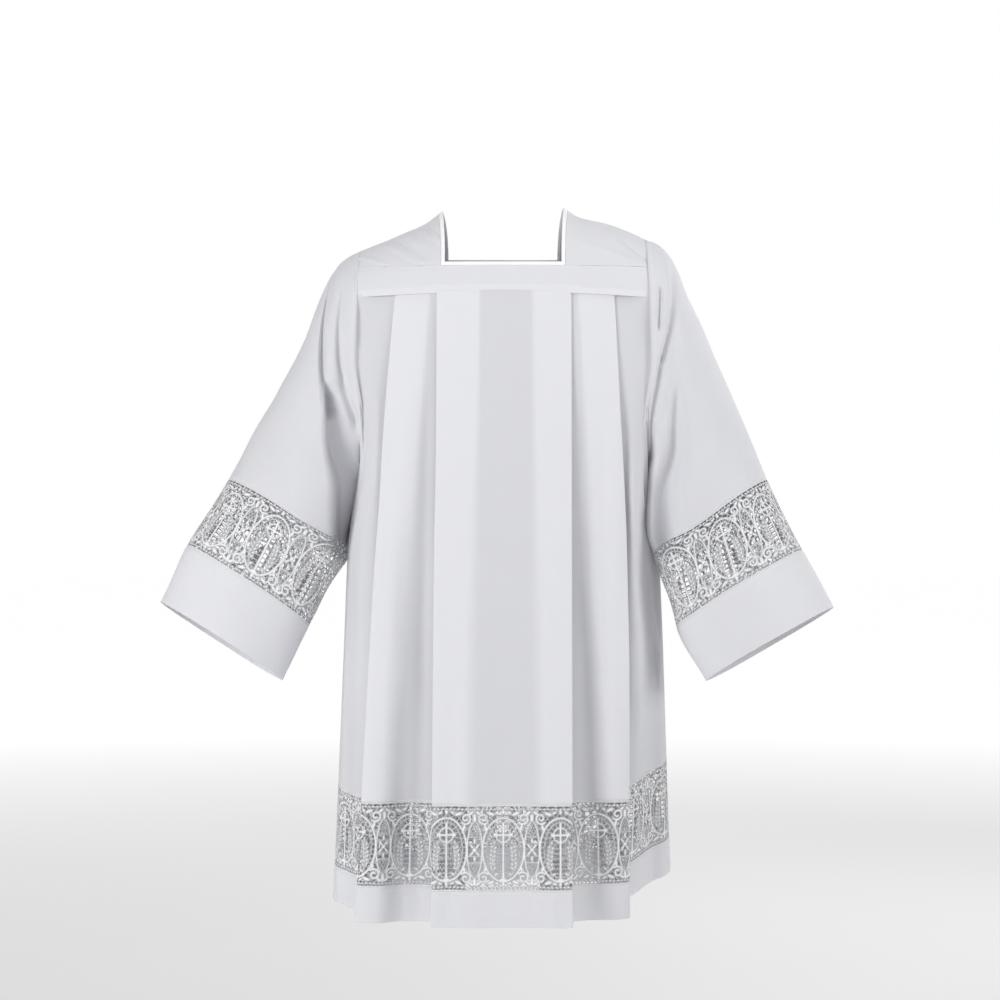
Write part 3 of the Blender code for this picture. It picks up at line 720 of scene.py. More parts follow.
SIDE_SEAMS = {
    Side.LEFT: SideSeam((196, 196, 205, 224), 4, 8),
    Side.RIGHT: SideSeam((196, 196, 207, 223), 16, 42),
}


@dataclass(frozen=True)
class SoftCrease:
    """Soft trough or ridge laid on cloth, in mm: a line in the front view, its width and depth.

    depth is inwards, so a ridge has a negative depth. bend bows the line outwards in the middle, inner makes
    its side towards the centre wider, fade is the share of its length over which it dies away, and sharp is 2
    for a bell and more for a crisp outer edge. outermost keeps it to the last cloth of the folds.
    """

    high: tuple
    low: tuple
    width: tuple
    depth: tuple
    bend: float = 0.0
    inner: float = 1.0
    fade: float = 0.45
    sharp: float = 2.0
    outermost: bool = False

    def line(self, t: Array, axis: int) -> tuple[Array, Array, Array, Array]:
        """Share along the line, and its place on an axis, width and depth there."""
        along = np.clip(t, 0.0, 1.0)
        pairs = ((self.high[axis], self.low[axis]), self.width, self.depth)
        return (along, *(first + (last - first) * along for first, last in pairs))

    def depth_at(self, x: Array, z: Array) -> Array:
        """Depth in metres at x and z: a bell across the line that fades past both ends."""
        t = (z / MM - self.high[1]) / (self.low[1] - self.high[1])
        along, centre, width, depth = self.line(t, 0)
        centre = centre + self.bend * 4 * along * (1 - along)
        fade = ease(t, -self.fade, self.fade / 4) * (1 - ease(t, 1 - self.fade / 3, 1 + self.fade))
        away = (x / MM - centre) / width
        inwards = away * np.sign(centre) < 0
        bell = np.abs(away / np.where(inwards, self.inner, 1.0)) ** np.where(inwards, 2.0, self.sharp)
        return depth * MM * np.exp(-bell) * fade

    def along_x(self, x: Array, z: Array) -> Array:
        """Same for a line that runs mostly sideways: the bell goes across it in z."""
        t = (x / MM - self.high[0]) / (self.low[0] - self.high[0])
        _, centre, width, depth = self.line(t, 1)
        fade = ease(t, -0.2, 0.15) * (1 - ease(t, 0.85, 1.2))
        return depth * MM * np.exp(-((z / MM - centre) / width) ** 2) * fade


SKIRT_CREASES = {
    Facing.FRONT: (
        SoftCrease((-103, -170), (-105, -780), (12, 13), (0.6, 3.6)),
        SoftCrease((-62, -560), (-66, -860), (9, 11), (0.7, 4.0)),
        SoftCrease((-40, -430), (-34, -840), (14, 14), (-0.9, -3.0)),
        SoftCrease((3, -150), (12, -720), (22, 20), (1.2, 2.8)),
        SoftCrease((34, -260), (38, -640), (12, 14), (-0.8, -1.6)),
        SoftCrease((58, -380), (63, -860), (11, 12), (-0.6, -3.2)),
        SoftCrease((-96, -210), (-100, -560), (6, 8), (1.4, 2.2)),
        SoftCrease((97, -120), (106, -800), (9, 12), (0.4, 1.6)),
        SoftCrease((128, -200), (134, -640), (9, 12), (-0.9, -2.0)),
        SoftCrease((-146, -130), (-158, -360), (6, 8), (1.6, 2.6)),
        SoftCrease((-172, -260), (-184, -620), (7, 9), (1.2, 3.0)),
        SoftCrease((-156, -330), (-176, -860), (9, 8), (-0.7, -3.2)),
        SoftCrease((152, -150), (156, -420), (6, 8), (1.6, 2.6)),
        SoftCrease((177, -330), (168, -590), (8, 8), (-7, -10),
                   inner=3, fade=0.25, sharp=8, outermost=True),
        SoftCrease((197, -370), (189, -560), (11, 12), (16, 20),
                   inner=0.8, fade=0.2, sharp=4, outermost=True),
    ),
    Facing.BACK: (
        SoftCrease((-108, -180), (-118, -800), (12, 12), (0.9, 5.2)),
        SoftCrease((-150, -140), (-158, -420), (6, 8), (1.6, 2.6)),
        SoftCrease((-20, -260), (-30, -800), (18, 18), (0.9, 3.2)),
        SoftCrease((42, -420), (48, -860), (12, 13), (-0.7, -3.2)),
        SoftCrease((110, -200), (122, -820), (10, 12), (0.8, 4.8)),
        SoftCrease((158, -320), (170, -840), (9, 9), (-0.7, -3.2)),
        SoftCrease((182, -300), (190, -600), (9, 12), (4, 9), inner=0.7),
    ),
}


class SkirtForm:
    """Pleated skirt panel: a planform of folded cloth at four levels, joined by smooth lines down the cloth.

    Between two folds the cloth is a smooth line through its creases, and each fold is a half circle as wide
    as the gap between its two cloths.
    """

    hem_z = -880 * MM
    hem_band = 44 * MM
    lace = 106 * MM
    levels = np.array([-90, -220, -470, -880]) * MM
    fold_gaps = np.array([1.2, 2.1, 3.0, 4.2]) * MM
    layer = 1.2 * MM
    back_lift_power = 4
    spacing = 4.4 * MM
    fold_steps = 6
    last_run = 4
    led_from_armhole = 0.16

    def __init__(self, facing: Facing) -> None:
        self.facing = facing
        front = {Side.LEFT: FRONT_LEFT, Side.RIGHT: FRONT_RIGHT}
        self.tables = front if facing == Facing.FRONT else {Side.LEFT: BACK_HALF, Side.RIGHT: BACK_HALF}
        left, right = self.half(Side.LEFT), self.half(Side.RIGHT)
        joined = [np.concatenate([a[..., ::-1], b[..., 1:]], axis=-1) for a, b in zip(left, right)]
        self.x, self.y, self.lift, self.share, self.run, self.side = joined
        self.along = lengths_along(np.stack([self.side * self.x[3], self.y[3]], axis=-1))
        self.along -= self.along[left[0].shape[-1] - 1]

    def half(self, side: Side) -> tuple[Array, ...]:
        """Columns of one half, from the centre outwards.

        Args:
            side: which half.

        Returns:
            x and y at the levels, hem lift, share round the armhole (0 before it), number of the run between
            folds, and side.
        """
        creases, seam = self.tables[side], SIDE_SEAMS[side]
        first = creases[0]
        centre_y = np.array([0, first.y[0] + 0.6, first.y[1] + 1.0, first.y[2]]) * MM
        runs: list[list[tuple]] = [[(np.zeros(4), centre_y, 0.0, 0.0, 0.0)]]
        for crease in creases:
            x, y = np.array(crease.x, float) * MM, np.array([0, *crease.y], float) * MM
            lift = crease.lift * MM
            if self.facing == Facing.BACK:
                lift += seam.lift * MM * (crease.x[3] / seam.x[3]) ** self.back_lift_power
            runs[-1].append((x, y, float(crease.layer), lift, 0.0))
            if crease.fold:
                runs.append([(x, y - self.fold_gaps, crease.layer + 1.0, lift, 0.0)])
        edge_x, edge_y, _, edge_lift, _ = runs[-1][-1]
        seam_x = np.array(seam.x, float) * MM
        seam_y = np.array([0, 0, 0, int(self.facing) * seam.y_hem]) * MM
        for step in (0.25, 0.5, 0.75, 1.0):
            turn = step * math.pi / 2
            x = edge_x + (seam_x - edge_x) * math.sin(turn)
            y = edge_y + (seam_y - edge_y) * (1 - math.cos(turn))
            runs[-1].append((x, y, 0.0, edge_lift + (seam.lift * MM - edge_lift) * step, step))
        last = len(runs) - 1
        parts = [self.run_columns(run, side, number, number < last) for number, run in enumerate(runs)]
        return tuple(np.concatenate([part[i] for part in parts], axis=-1) for i in range(6))

    def run_columns(self, run: list[tuple], side: Side, number: int, folds: bool) -> tuple[Array, ...]:
        """Columns of one run of cloth between two folds, and of the fold at its end.

        Args:
            run: keys, each x and y at the levels, layer, lift and armhole share.
            side: which half.
            number: which run from the centre; the odd ones lead back inwards.
            folds: whether a fold ends it.

        Returns:
            The same six arrays as `half`.
        """
        direction = 1 if number % 2 == 0 else -1
        table = np.array([[*x, *y, layer, lift, share] for x, y, layer, lift, share in run])
        hem = np.stack([table[:, 3], table[:, 7]], axis=-1)
        chest = np.stack([table[:, 1], table[:, 5]], axis=-1)
        knots = lengths_along(hem) + lengths_along(chest)
        count = max(6, int(math.ceil(lengths_along(hem)[-1] / self.spacing)) + 1)
        fine = smooth_table(knots, table, np.linspace(0, knots[-1], count)[:, None])
        x, y, (layer, lift, share) = fine[:, :4], fine[:, 4:8], fine[:, 8:].T
        on_yoke = TORSO.surface_y(side * x[:, 0], TORSO.seam_z(x[:, 0]), self.facing)
        y[:, 0] = np.abs(on_yoke) - layer * self.layer
        radius = self.fold_gaps / 2
        if number > 0:
            x[0] += direction * radius
        if folds:
            x[-1] -= direction * radius
            turn = np.linspace(0, math.pi, self.fold_steps + 1)[1:-1, None]
            x = np.concatenate([x, x[-1] + direction * radius * np.sin(turn)])
            y = np.concatenate([y, y[-1] - radius * (1 - np.cos(turn))])
            lift, share = (np.concatenate([a, np.full(len(turn), a[-1])]) for a in (lift, share))
        steps = len(x)
        return x.T, y.T, lift, share, np.full(steps, float(number)), np.full(steps, float(side))

    def tuck_x(self, name: str, z: Array, side: Array) -> Array:
        """Distance of a tuck from the centre at height z, on the side that each point is on."""
        lines = []
        for half in Side:
            crease = next(c for c in self.tables[half] if c.name == name)
            lines.append(np.interp(-z, -self.levels, np.array(crease.x, float) * MM))
        return np.where(side < 0, lines[0], lines[1])

    def backing(self, x: Array, z: Array) -> Array:
        """How much folded cloth lies behind each point: 1 from a tuck's edge to its fold, 0 elsewhere."""
        inner, outer = self.tuck_x("inner_tuck", z, self.side), self.tuck_x("outer_tuck", z, self.side)
        blur = (2.0 + 9.0 * ease(-z, 0.1, 0.6)) * MM
        behind_first = ease((x - inner) / blur, -1, 1)
        behind_second = ease((x - outer) / blur, -1, 1)
        return np.where(self.run < 1, behind_first, np.where(self.run == 2, behind_second, self.run % 2))

    def patch(self, upper: Union[float, None], lower: float, down: Array) -> Patch:
        """Cloth between two heights above the hem.

        Args:
            upper: height of the top edge, or None for the yoke seam and armhole.
            lower: height of the bottom edge.
            down: shares of the way down, one for each row.

        Returns:
            The patch, with the hanging creases laid in. Each column's x and y go smoothly down the levels;
            below the armhole they are led from its edge, over 160 mm.
        """
        side, on_armhole = self.side, self.share > 0
        armhole = TORSO.armhole_point(self.share, side, self.facing)
        top = np.where(on_armhole, armhole[:, 2], TORSO.seam_z(self.x[0]) + 2.5 * MM)
        if upper is not None:
            top = self.hem_z + self.lift + upper
        bottom = self.hem_z + self.lift + lower
        z = top + (bottom - top) * down[:, None]
        x, y = smooth_table(-self.levels, self.x, -z), smooth_table(-self.levels, self.y, -z)
        start_z = armhole[None, :, 2]
        start_x = smooth_table(-self.levels, self.x, -start_z)
        start_y = smooth_table(-self.levels, self.y, -start_z)
        fade = np.where(on_armhole, 1 - ease(start_z - z, 0.0, self.led_from_armhole), 0.0)
        x = x + (side * armhole[:, 0] - start_x) * fade
        y = y + (self.facing * armhole[:, 1] - start_y) * fade
        backing = self.backing(x, z)
        loose = ease(-z, 0.11, 0.3) * (1 - fade)
        off_seam = ease(y, 0.004, 0.055)
        for crease in SKIRT_CREASES[self.facing]:
            laid = np.where(self.run >= self.last_run, 1.0, 0.0) if crease.outermost else 1.0
            y = y - crease.depth_at(side * x, z) * loose * off_seam * laid
        y = y + ripple(side * x, z * 0.4, 0.08, float(self.facing)) * 1.1 * MM * loose
        points = TORSO.pulled(np.stack([side * x, self.facing * y, z], axis=-1))
        grain = np.stack([np.broadcast_to(self.along, z.shape), z], axis=-1)
        return Patch(points, grain, backing)


# ---- form of the sleeves


@dataclass(frozen=True)
class SleeveRow:
    """Cross-section of a sleeve, in mm: its top and under points in the front view, half depth and swing."""

    name: str
    top: tuple
    under: tuple
    half_depth: float
    forward: float

    def numbers(self) -> list:
        """All the sizes in one row."""
        return [*self.top, *self.under, self.half_depth, self.forward]


SLEEVE_SECTIONS = (
    # name, half depth, swing forwards, then top and under points of the left and of the right sleeve
    ("armhole", 115, 3, ((188.3, -25.7), (197.5, -323)), ((188.3, -10.5), (197.5, -323))),
    ("crown", 115, 4, ((200, -32.3), (198.4, -331)), ((203, -16.6), (198.4, -331))),
    ("shoulder", 114, 5, ((214, -44), (199.7, -341)), ((221, -37), (199.9, -341))),
    ("upper_arm", 110, 8, ((239.5, -88), (202, -356)), ((243, -88), (202.5, -356))),
    ("drape", 104, 14, ((258.5, -141), (204, -371)), ((266.5, -141), (205, -371))),
    ("elbow", 90, 34, ((315.5, -247), (207.5, -398)), ((312.5, -247), (209.5, -398))),
    ("lace_top", 80, 52, ((355.5, -325), (211, -420)), ((341.5, -325), (214, -423))),
    ("lace_end", 71, 76, ((406, -411), (250, -513)), ((386, -417), (224, -514))),
    ("cuff_edge", 64, 92, ((438, -482), (283, -581)), ((422, -489), (260, -582))),
)
SLEEVE_ROWS = {
    side: tuple(SleeveRow(name, *points[number], half_depth, forward)
                for name, half_depth, forward, *points in SLEEVE_SECTIONS)
    for number, side in enumerate(Side)
}

SLEEVE_CREASES = {
    (Side.LEFT, Facing.FRONT): (
        SoftCrease((218, -52), (225, -236), (2.4, 3.0), (8, 13), bend=10, inner=2.2, fade=0.08),
        SoftCrease((205, -92), (200, -250), (4, 5), (4, 13), bend=6, inner=0.7, fade=0.15),
        SoftCrease((224, -214), (218, -418), (4, 11), (20, 56), inner=4.2, fade=0.1, sharp=6),
        SoftCrease((300, -240), (300, -520), (26, 40), (4, 7)),
        SoftCrease((262, -170), (258, -400), (12, 18), (-2.0, -3.0)),
    ),
    (Side.LEFT, Facing.BACK): (
        SoftCrease((222, -80), (226, -260), (4, 6), (6, 11), bend=8, fade=0.2),
        SoftCrease((206, -250), (192, -420), (12, 10), (14, 34), inner=3.0, fade=0.2, sharp=4),
        SoftCrease((290, -260), (310, -520), (24, 34), (3, 8)),
    ),
    (Side.RIGHT, Facing.FRONT): (
        SoftCrease((215, -48), (200, -176), (8, 12), (8, 11), bend=5, inner=0.2, fade=0.06),
        SoftCrease((200, -84), (198, -132), (3, 3), (5, 6), fade=0.2),
        SoftCrease((199, -186), (200, -300), (11, 11), (9, 7), inner=0.2, fade=0.12),
        SoftCrease((223, -222), (224, -405), (6, 9), (8, 24), inner=0.8, fade=0.15),
        SoftCrease((206, -262), (212, -400), (6, 6), (-8, -16), fade=0.15),
        SoftCrease((288, -240), (290, -520), (26, 38), (4, 7)),
        SoftCrease((252, -200), (256, -400), (12, 16), (2.0, 3.5)),
    ),
    (Side.RIGHT, Facing.BACK): (
        SoftCrease((218, -70), (224, -240), (4, 6), (6, 11), bend=8, fade=0.2),
        SoftCrease((208, -240), (198, -420), (10, 10), (14, 34), inner=3.0, fade=0.2, sharp=4),
        SoftCrease((280, -260), (300, -520), (24, 34), (3, 8)),
    ),
}


@dataclass(frozen=True)
class UnderarmPull:
    """Draws in the front of a sleeve below the underarm, by a size in mm, over drops and reaches in metres.

    Known fault: at these sizes the sleeves cut into the front panel by up to 8 mm. At half of them it is about
    1 mm, and with sizes of 0 they don't cross it below the underarm.

    Args:
        size: greatest shift.
        grow: drops over which it grows.
        fade: drops over which it dies away.
        reach: distances from the centre over which it dies away.
    """

    size: int
    grow: tuple
    fade: tuple
    reach: tuple = (0.208, 0.262)


UNDERARM_PULLS = {
    Side.LEFT: UnderarmPull(16, (0.27, 0.34), (0.405, 0.48)),
    Side.RIGHT: UnderarmPull(13, (0.28, 0.36), (0.40, 0.50)),
}


class SleeveForm:
    """Wide sleeve: rounded cross-sections swept from the armhole to the cuff, with hanging folds."""

    tilt = 0.16

    def __init__(self, side: Side) -> None:
        self.side = side
        self.rows = SLEEVE_ROWS[side]
        self.table = np.array([row.numbers() for row in self.rows], float) * MM
        lengths = lengths_along(self.table[:, :2])
        self.length = lengths[-1]
        self.knots = lengths / self.length
        self.names = [row.name for row in self.rows]

    def share_of(self, name: str) -> float:
        """Share of the length at a named row."""
        return float(self.knots[self.names.index(name)])

    def round(self, shares: Array, turns: Array) -> Array:
        """Points of the sleeve before its folds.

        Args:
            shares: 0 at the armhole to 1 at the cuff's edge.
            turns: 0 on top, a quarter in front, a half underneath.

        Returns:
            Array of shape (shares, turns, 3): ovals set between the top and under lines, drawn up in front.
        """
        rows = smooth_table(self.knots, self.table, shares[:, None])
        top_x, top_z, under_x, under_z, half_depth, forward = rows.T[:, :, None]
        roundness = 2.0 + (TORSO.roundness - 2.0) * (1 - ease(shares, 0.0, 0.6))[:, None]
        angle = (2 * math.pi * turns)[None, :]
        lengthwise = signed_power(np.cos(angle), 2 / roundness)
        depthwise = signed_power(np.sin(angle), 2 / roundness)
        x = (top_x + under_x) / 2 + (top_x - under_x) / 2 * lengthwise
        z = (top_z + under_z) / 2 + (top_z - under_z) / 2 * lengthwise
        first = (1 - ease(shares, 0.0, 0.12))[:, None]
        reach = np.where(depthwise > 0, TORSO.reach(TORSO.armhole_x, Facing.FRONT),
                         TORSO.reach(TORSO.armhole_x, Facing.BACK))
        y = (-forward - half_depth * depthwise) * (1 - first) - first * reach * depthwise
        tilt = self.tilt * ease(shares, 0.2, 0.6)[:, None] * half_depth * depthwise
        length = np.hypot(top_x - under_x, top_z - under_z)
        x = x - tilt * (top_z - under_z) / length
        z = z + tilt * (top_x - under_x) / length
        return np.stack([self.side * x, y, z], axis=-1)

    def normals(self, shares: Array, turns: Array) -> Array:
        """Outward normals of the round sleeve, from the cross product of small steps round and along it."""
        step = 1e-3
        around = self.round(shares, turns + step) - self.round(shares, turns - step)
        down = self.round(shares + step, turns) - self.round(shares - step, turns)
        return unit(np.cross(around, down) * int(self.side))

    def points(self, shares: Array, turns: Array) -> Array:
        """Points of the middle surface: the round sleeve with its folds pressed in from the front or back."""
        points = self.round(shares, turns)
        x, z = np.abs(points[..., 0]), points[..., 2]
        depthwise = np.sin(2 * math.pi * turns)[None, :]
        start = ease(shares, 0.0, 0.014)[:, None]
        waves = ripple(x, z, 0.11, 3.0 + self.side) * 1.3 * MM * start
        points = points - self.normals(shares, turns) * waves[..., None]
        for facing in Facing:
            on_side = ease(-facing * depthwise, 0.02, 0.3) * start
            for crease in SLEEVE_CREASES[(self.side, facing)]:
                points[..., 1] -= facing * crease.depth_at(x, z) * on_side
        pull = UNDERARM_PULLS[self.side]
        below = ease(-z, *pull.grow) * (1 - ease(-z, *pull.fade)) * ease(-points[..., 1], 0.0, 0.06)
        points[..., 0] -= self.side * pull.size * MM * below * (1 - ease(x, *pull.reach))
        return TORSO.pulled(points)

    def patch(self, shares: Array, turns: Array, backing: float, wrap: bool) -> Patch:
        """Cloth of the sleeve between two shares."""
        points = self.points(shares, turns)
        around = lengths_along(points[len(shares) // 2])
        down = lengths_along(points[:, len(turns) // 4])
        grain = np.stack(np.broadcast_arrays(around[None, :], down[:, None]), axis=-1)
        return Patch(points, grain, np.full(points.shape[:2], backing), wrap)


# ---- lace


class LacePattern:
    """Repeat of the lace as a field: how far a point lies inside the thread, in mm, negative in a gap.

    middle is the height of the frame's and the spindle's centre, and crossing that of the cross's arms.
    """

    repeat = 71.5
    height = 106.0
    middle = 51.0
    crossing = 69.0
    frame_radii = (23.2, 36.2)
    inner_radii = (20.6, 33.6)
    outer_radii = (25.8, 38.8)
    spindle_radii = (9.2, 34.0)
    wheat_grains = 6
    corner_leaves = (((4.6, 10.0), (5.0, 2.2), 35), ((13.4, 28.0), (5.4, 2.2), 74))
    edge_leaves = (
        ((15.5, 11.0), (6.4, 2.4), -20), ((7.6, 9.8), (4.0, 1.9), 25), ((0.0, 9.0), (2.4, 3.4), 0.0),
    )

    @staticmethod
    def ring(x: Array, y: Array, centre: tuple, radii: tuple, half: float) -> Array:
        """Oval thread."""
        dx, dy = x - centre[0], y - centre[1]
        level = np.hypot(dx / radii[0], dy / radii[1])
        slope = np.hypot(dx / radii[0] ** 2, dy / radii[1] ** 2) / np.maximum(level, 1e-6)
        return half - np.abs(level - 1) / np.maximum(slope, 1e-6)

    @staticmethod
    def leaf(x: Array, y: Array, centre: tuple, radii: tuple, turn: float) -> Array:
        """Solid oval leaf, turned by an angle in degrees."""
        angle = math.radians(turn)
        u = (x - centre[0]) * math.cos(angle) + (y - centre[1]) * math.sin(angle)
        v = (y - centre[1]) * math.cos(angle) - (x - centre[0]) * math.sin(angle)
        return (1 - np.hypot(u / radii[0], v / radii[1])) * min(radii)

    @staticmethod
    def scroll(x: Array, y: Array, centre: tuple, size: float, turns: float, start: float, hand: int,
               half: float) -> Array:
        """Spiral thread, from the outside in: the radius falls evenly with the angle."""
        dx, dy = x - centre[0], y - centre[1]
        radius = np.hypot(dx, dy)
        angle = (hand * np.arctan2(dy, dx) / (2 * math.pi) - start) % 1.0
        best = np.full(np.broadcast(x, y).shape, -99.0)
        for number in range(int(math.ceil(turns)) + 1):
            at = angle + number
            wanted = size * (1 - at / (turns + 0.35))
            best = np.where(at <= turns, np.maximum(best, half - np.abs(radius - wanted)), best)
        return best

    def field(self, along: Array, up: Array) -> Array:
        """Inside distance at each point of the strip.

        Args:
            along: position along the strip in mm, 0 in the middle of a repeat.
            up: height above the lower edge in mm.

        Returns:
            The greatest of all the threads and leaves: a ringed cross between two ears of wheat in an oval
            frame, a netted spindle between the frames, and scrolls with leaves along both edges.
        """
        x = (along + self.repeat / 2) % self.repeat - self.repeat / 2
        far, beside = self.repeat / 2 - np.abs(x), np.abs(x)
        picot = 0.6 * np.cos(along * 2 * math.pi / 5.1)
        parts = [2.2 - up, 2.2 - (self.height - up), 1.0 - np.abs(up - 5.2) + picot,
                 1.0 - np.abs(self.height - 5.2 - up) + picot]
        parts += self.cross(x, up)
        parts += self.wheat(beside, up)
        parts += self.filling(beside, up)
        parts += self.frame(x, up)
        parts += self.spindle(far, up)
        parts += self.borders(beside, far, up)
        parts += self.brides(along, up, beside, far)
        return np.maximum.reduce(parts)

    def frame(self, x: Array, up: Array) -> list[Array]:
        """Oval frame: a broad thread outside, a thin one inside and short rungs between them."""
        wide, tall = self.frame_radii
        turn = np.arctan2((up - self.middle) / tall, x / wide)
        step = 2 * math.pi / 36
        reach = np.hypot(wide * np.sin(turn), tall * np.cos(turn))
        rungs = 0.75 - np.abs((turn % step) - step / 2) * reach
        level = np.hypot(x / wide, (up - self.middle) / tall)
        rings = ((self.outer_radii, 1.6), (self.inner_radii, 0.85))
        return [*(self.ring(x, up, (0.0, self.middle), radii, half) for radii, half in rings),
                np.minimum(rungs, (0.11 - np.abs(level - 1)) * wide)]

    @staticmethod
    def mesh(x: Array, y: Array, slant: float, pitch: float, half: float) -> Array:
        """Two crossing sets of slanting threads, spaced by their pitch."""
        u, v = math.cos(math.radians(slant)), math.sin(math.radians(slant))
        first = half - np.abs(((x * u + y * v) % pitch) - pitch / 2)
        return np.maximum(first, half - np.abs(((x * u - y * v) % pitch) - pitch / 2))

    def cross(self, x: Array, up: Array) -> list[Array]:
        """Plain long cross with flared ends and a ring round its crossing, on a small foot."""
        stem = 1.7 + 1.5 * np.maximum(0, np.abs(up - 50) / 34 - 0.75)
        arm = 1.7 + 1.4 * np.maximum(0, np.abs(x) / 11 - 0.5)
        upright = np.minimum(stem - np.abs(x), 34.5 - np.abs(up - 50))
        crossbar = np.minimum(arm - np.abs(up - self.crossing), 12.5 - np.abs(x))
        return [upright, crossbar, self.ring(x, up, (0.0, self.crossing), (8.8, 8.8), 1.35),
                self.leaf(x, up, (0.0, 14.0), (6.0, 2.4), 0.0)]

    def wheat(self, x: Array, up: Array) -> list[Array]:
        """Ear of wheat beside the cross: a bent stem with grains in pairs, a tip grain and a low leaf."""
        bend = 10.8 + 2.6 * np.sin((up - 18) / 40 * math.pi)
        parts = [np.minimum(0.75 - np.abs(x - bend), np.minimum(up - 17, 60 - up))]
        for number in range(self.wheat_grains):
            height = 28.5 + number * 5.0
            centre = 10.8 + 2.6 * math.sin((height - 18) / 40 * math.pi)
            parts.append(self.leaf(x, up, (centre - 2.1, height), (3.3, 1.55), 118))
            parts.append(self.leaf(x, up, (centre + 2.3, height + 1.2), (3.3, 1.55), 62))
        parts.append(self.leaf(x, up, (10.9, 60.0), (3.4, 1.4), 92))
        parts.append(self.leaf(x, up, (8.4, 21.0), (4.4, 1.6), 140))
        return parts

    def filling(self, x: Array, up: Array) -> list[Array]:
        """Filling of the frame: rays round the crossing, bars beside the stem and a net beyond the wheat."""
        wide, tall = self.inner_radii
        inner = (1 - np.hypot(x / wide, (up - self.middle) / tall)) * wide + 0.4
        radius, step = np.hypot(x, up - self.crossing), math.pi / 7
        turn = np.arctan2(x, up - self.crossing) / step
        ray = 0.8 - radius * np.abs(np.sin((turn - np.round(turn)) * step))
        bars = 0.7 - np.abs((up % 6.2) - 3.1)
        net = self.mesh(x, up, 32, 5.6, 0.62)
        return [
            np.minimum.reduce([ray, inner, radius - 8.0, up - 61]),
            np.minimum.reduce([bars, inner, 9.5 - x, 62 - up]),
            np.minimum.reduce([net, inner, x - 8.5, 62 - up]),
        ]

    def spindle(self, far: Array, up: Array) -> list[Array]:
        """Spindle between the frames: close net at both ends, and an open middle with leaves round a bead."""
        inside, off = self.spindle_width(up) - far, np.abs(up - self.middle)
        return [
            np.where(off < self.spindle_radii[1], 1.35 - np.abs(inside), -9.0),
            np.minimum.reduce([self.mesh(far, up, 30, 3.5, 0.62), inside, off - 15.5]),
            np.minimum(1.0 - np.abs(off - 15.5), inside), np.minimum(0.7 - np.abs(off - 7.8), inside),
            *(self.leaf(far, up, (0.0, height), (2.6, 6.4), 0.0) for height in (90.0, 12.0)),
            self.leaf(far, off, (3.6, 4.4), (5.2, 1.8), 50),
            self.leaf(far, off, (0.0, 11.0), (1.9, 4.6), 0.0), 2.8 - np.hypot(far, off),
        ]

    def spindle_width(self, up: Array) -> Array:
        """Half width of the spindle at a height."""
        wide, tall = self.spindle_radii
        return wide * np.sqrt(np.maximum(1 - ((up - self.middle) / tall) ** 2, 0.0))

    def borders(self, x: Array, far: Array, up: Array) -> list[Array]:
        """Scrolls and leaves in the corners above and below the frame."""
        parts = []
        for height in (up, self.height - up):
            parts.append(self.scroll(far, height, (11.0, 16.6), 7.4, 1.35, 0.1, 1, 1.6))
            parts += [self.leaf(far, height, *leaf) for leaf in self.corner_leaves]
            parts += [self.leaf(x, height, *leaf) for leaf in self.edge_leaves]
        return parts

    def brides(self, along: Array, up: Array, x: Array, far: Array) -> list[Array]:
        """Slanting threads that hold the motifs together, outside the frame and the spindle."""
        wide = self.outer_radii[0]
        outside = (np.hypot(x / wide, (up - self.middle) / 39.0) - 1) * wide
        clear = np.minimum(outside, far - self.spindle_width(up))
        return [np.minimum(self.mesh(along, up, 38, 7.9, 0.7), clear)]


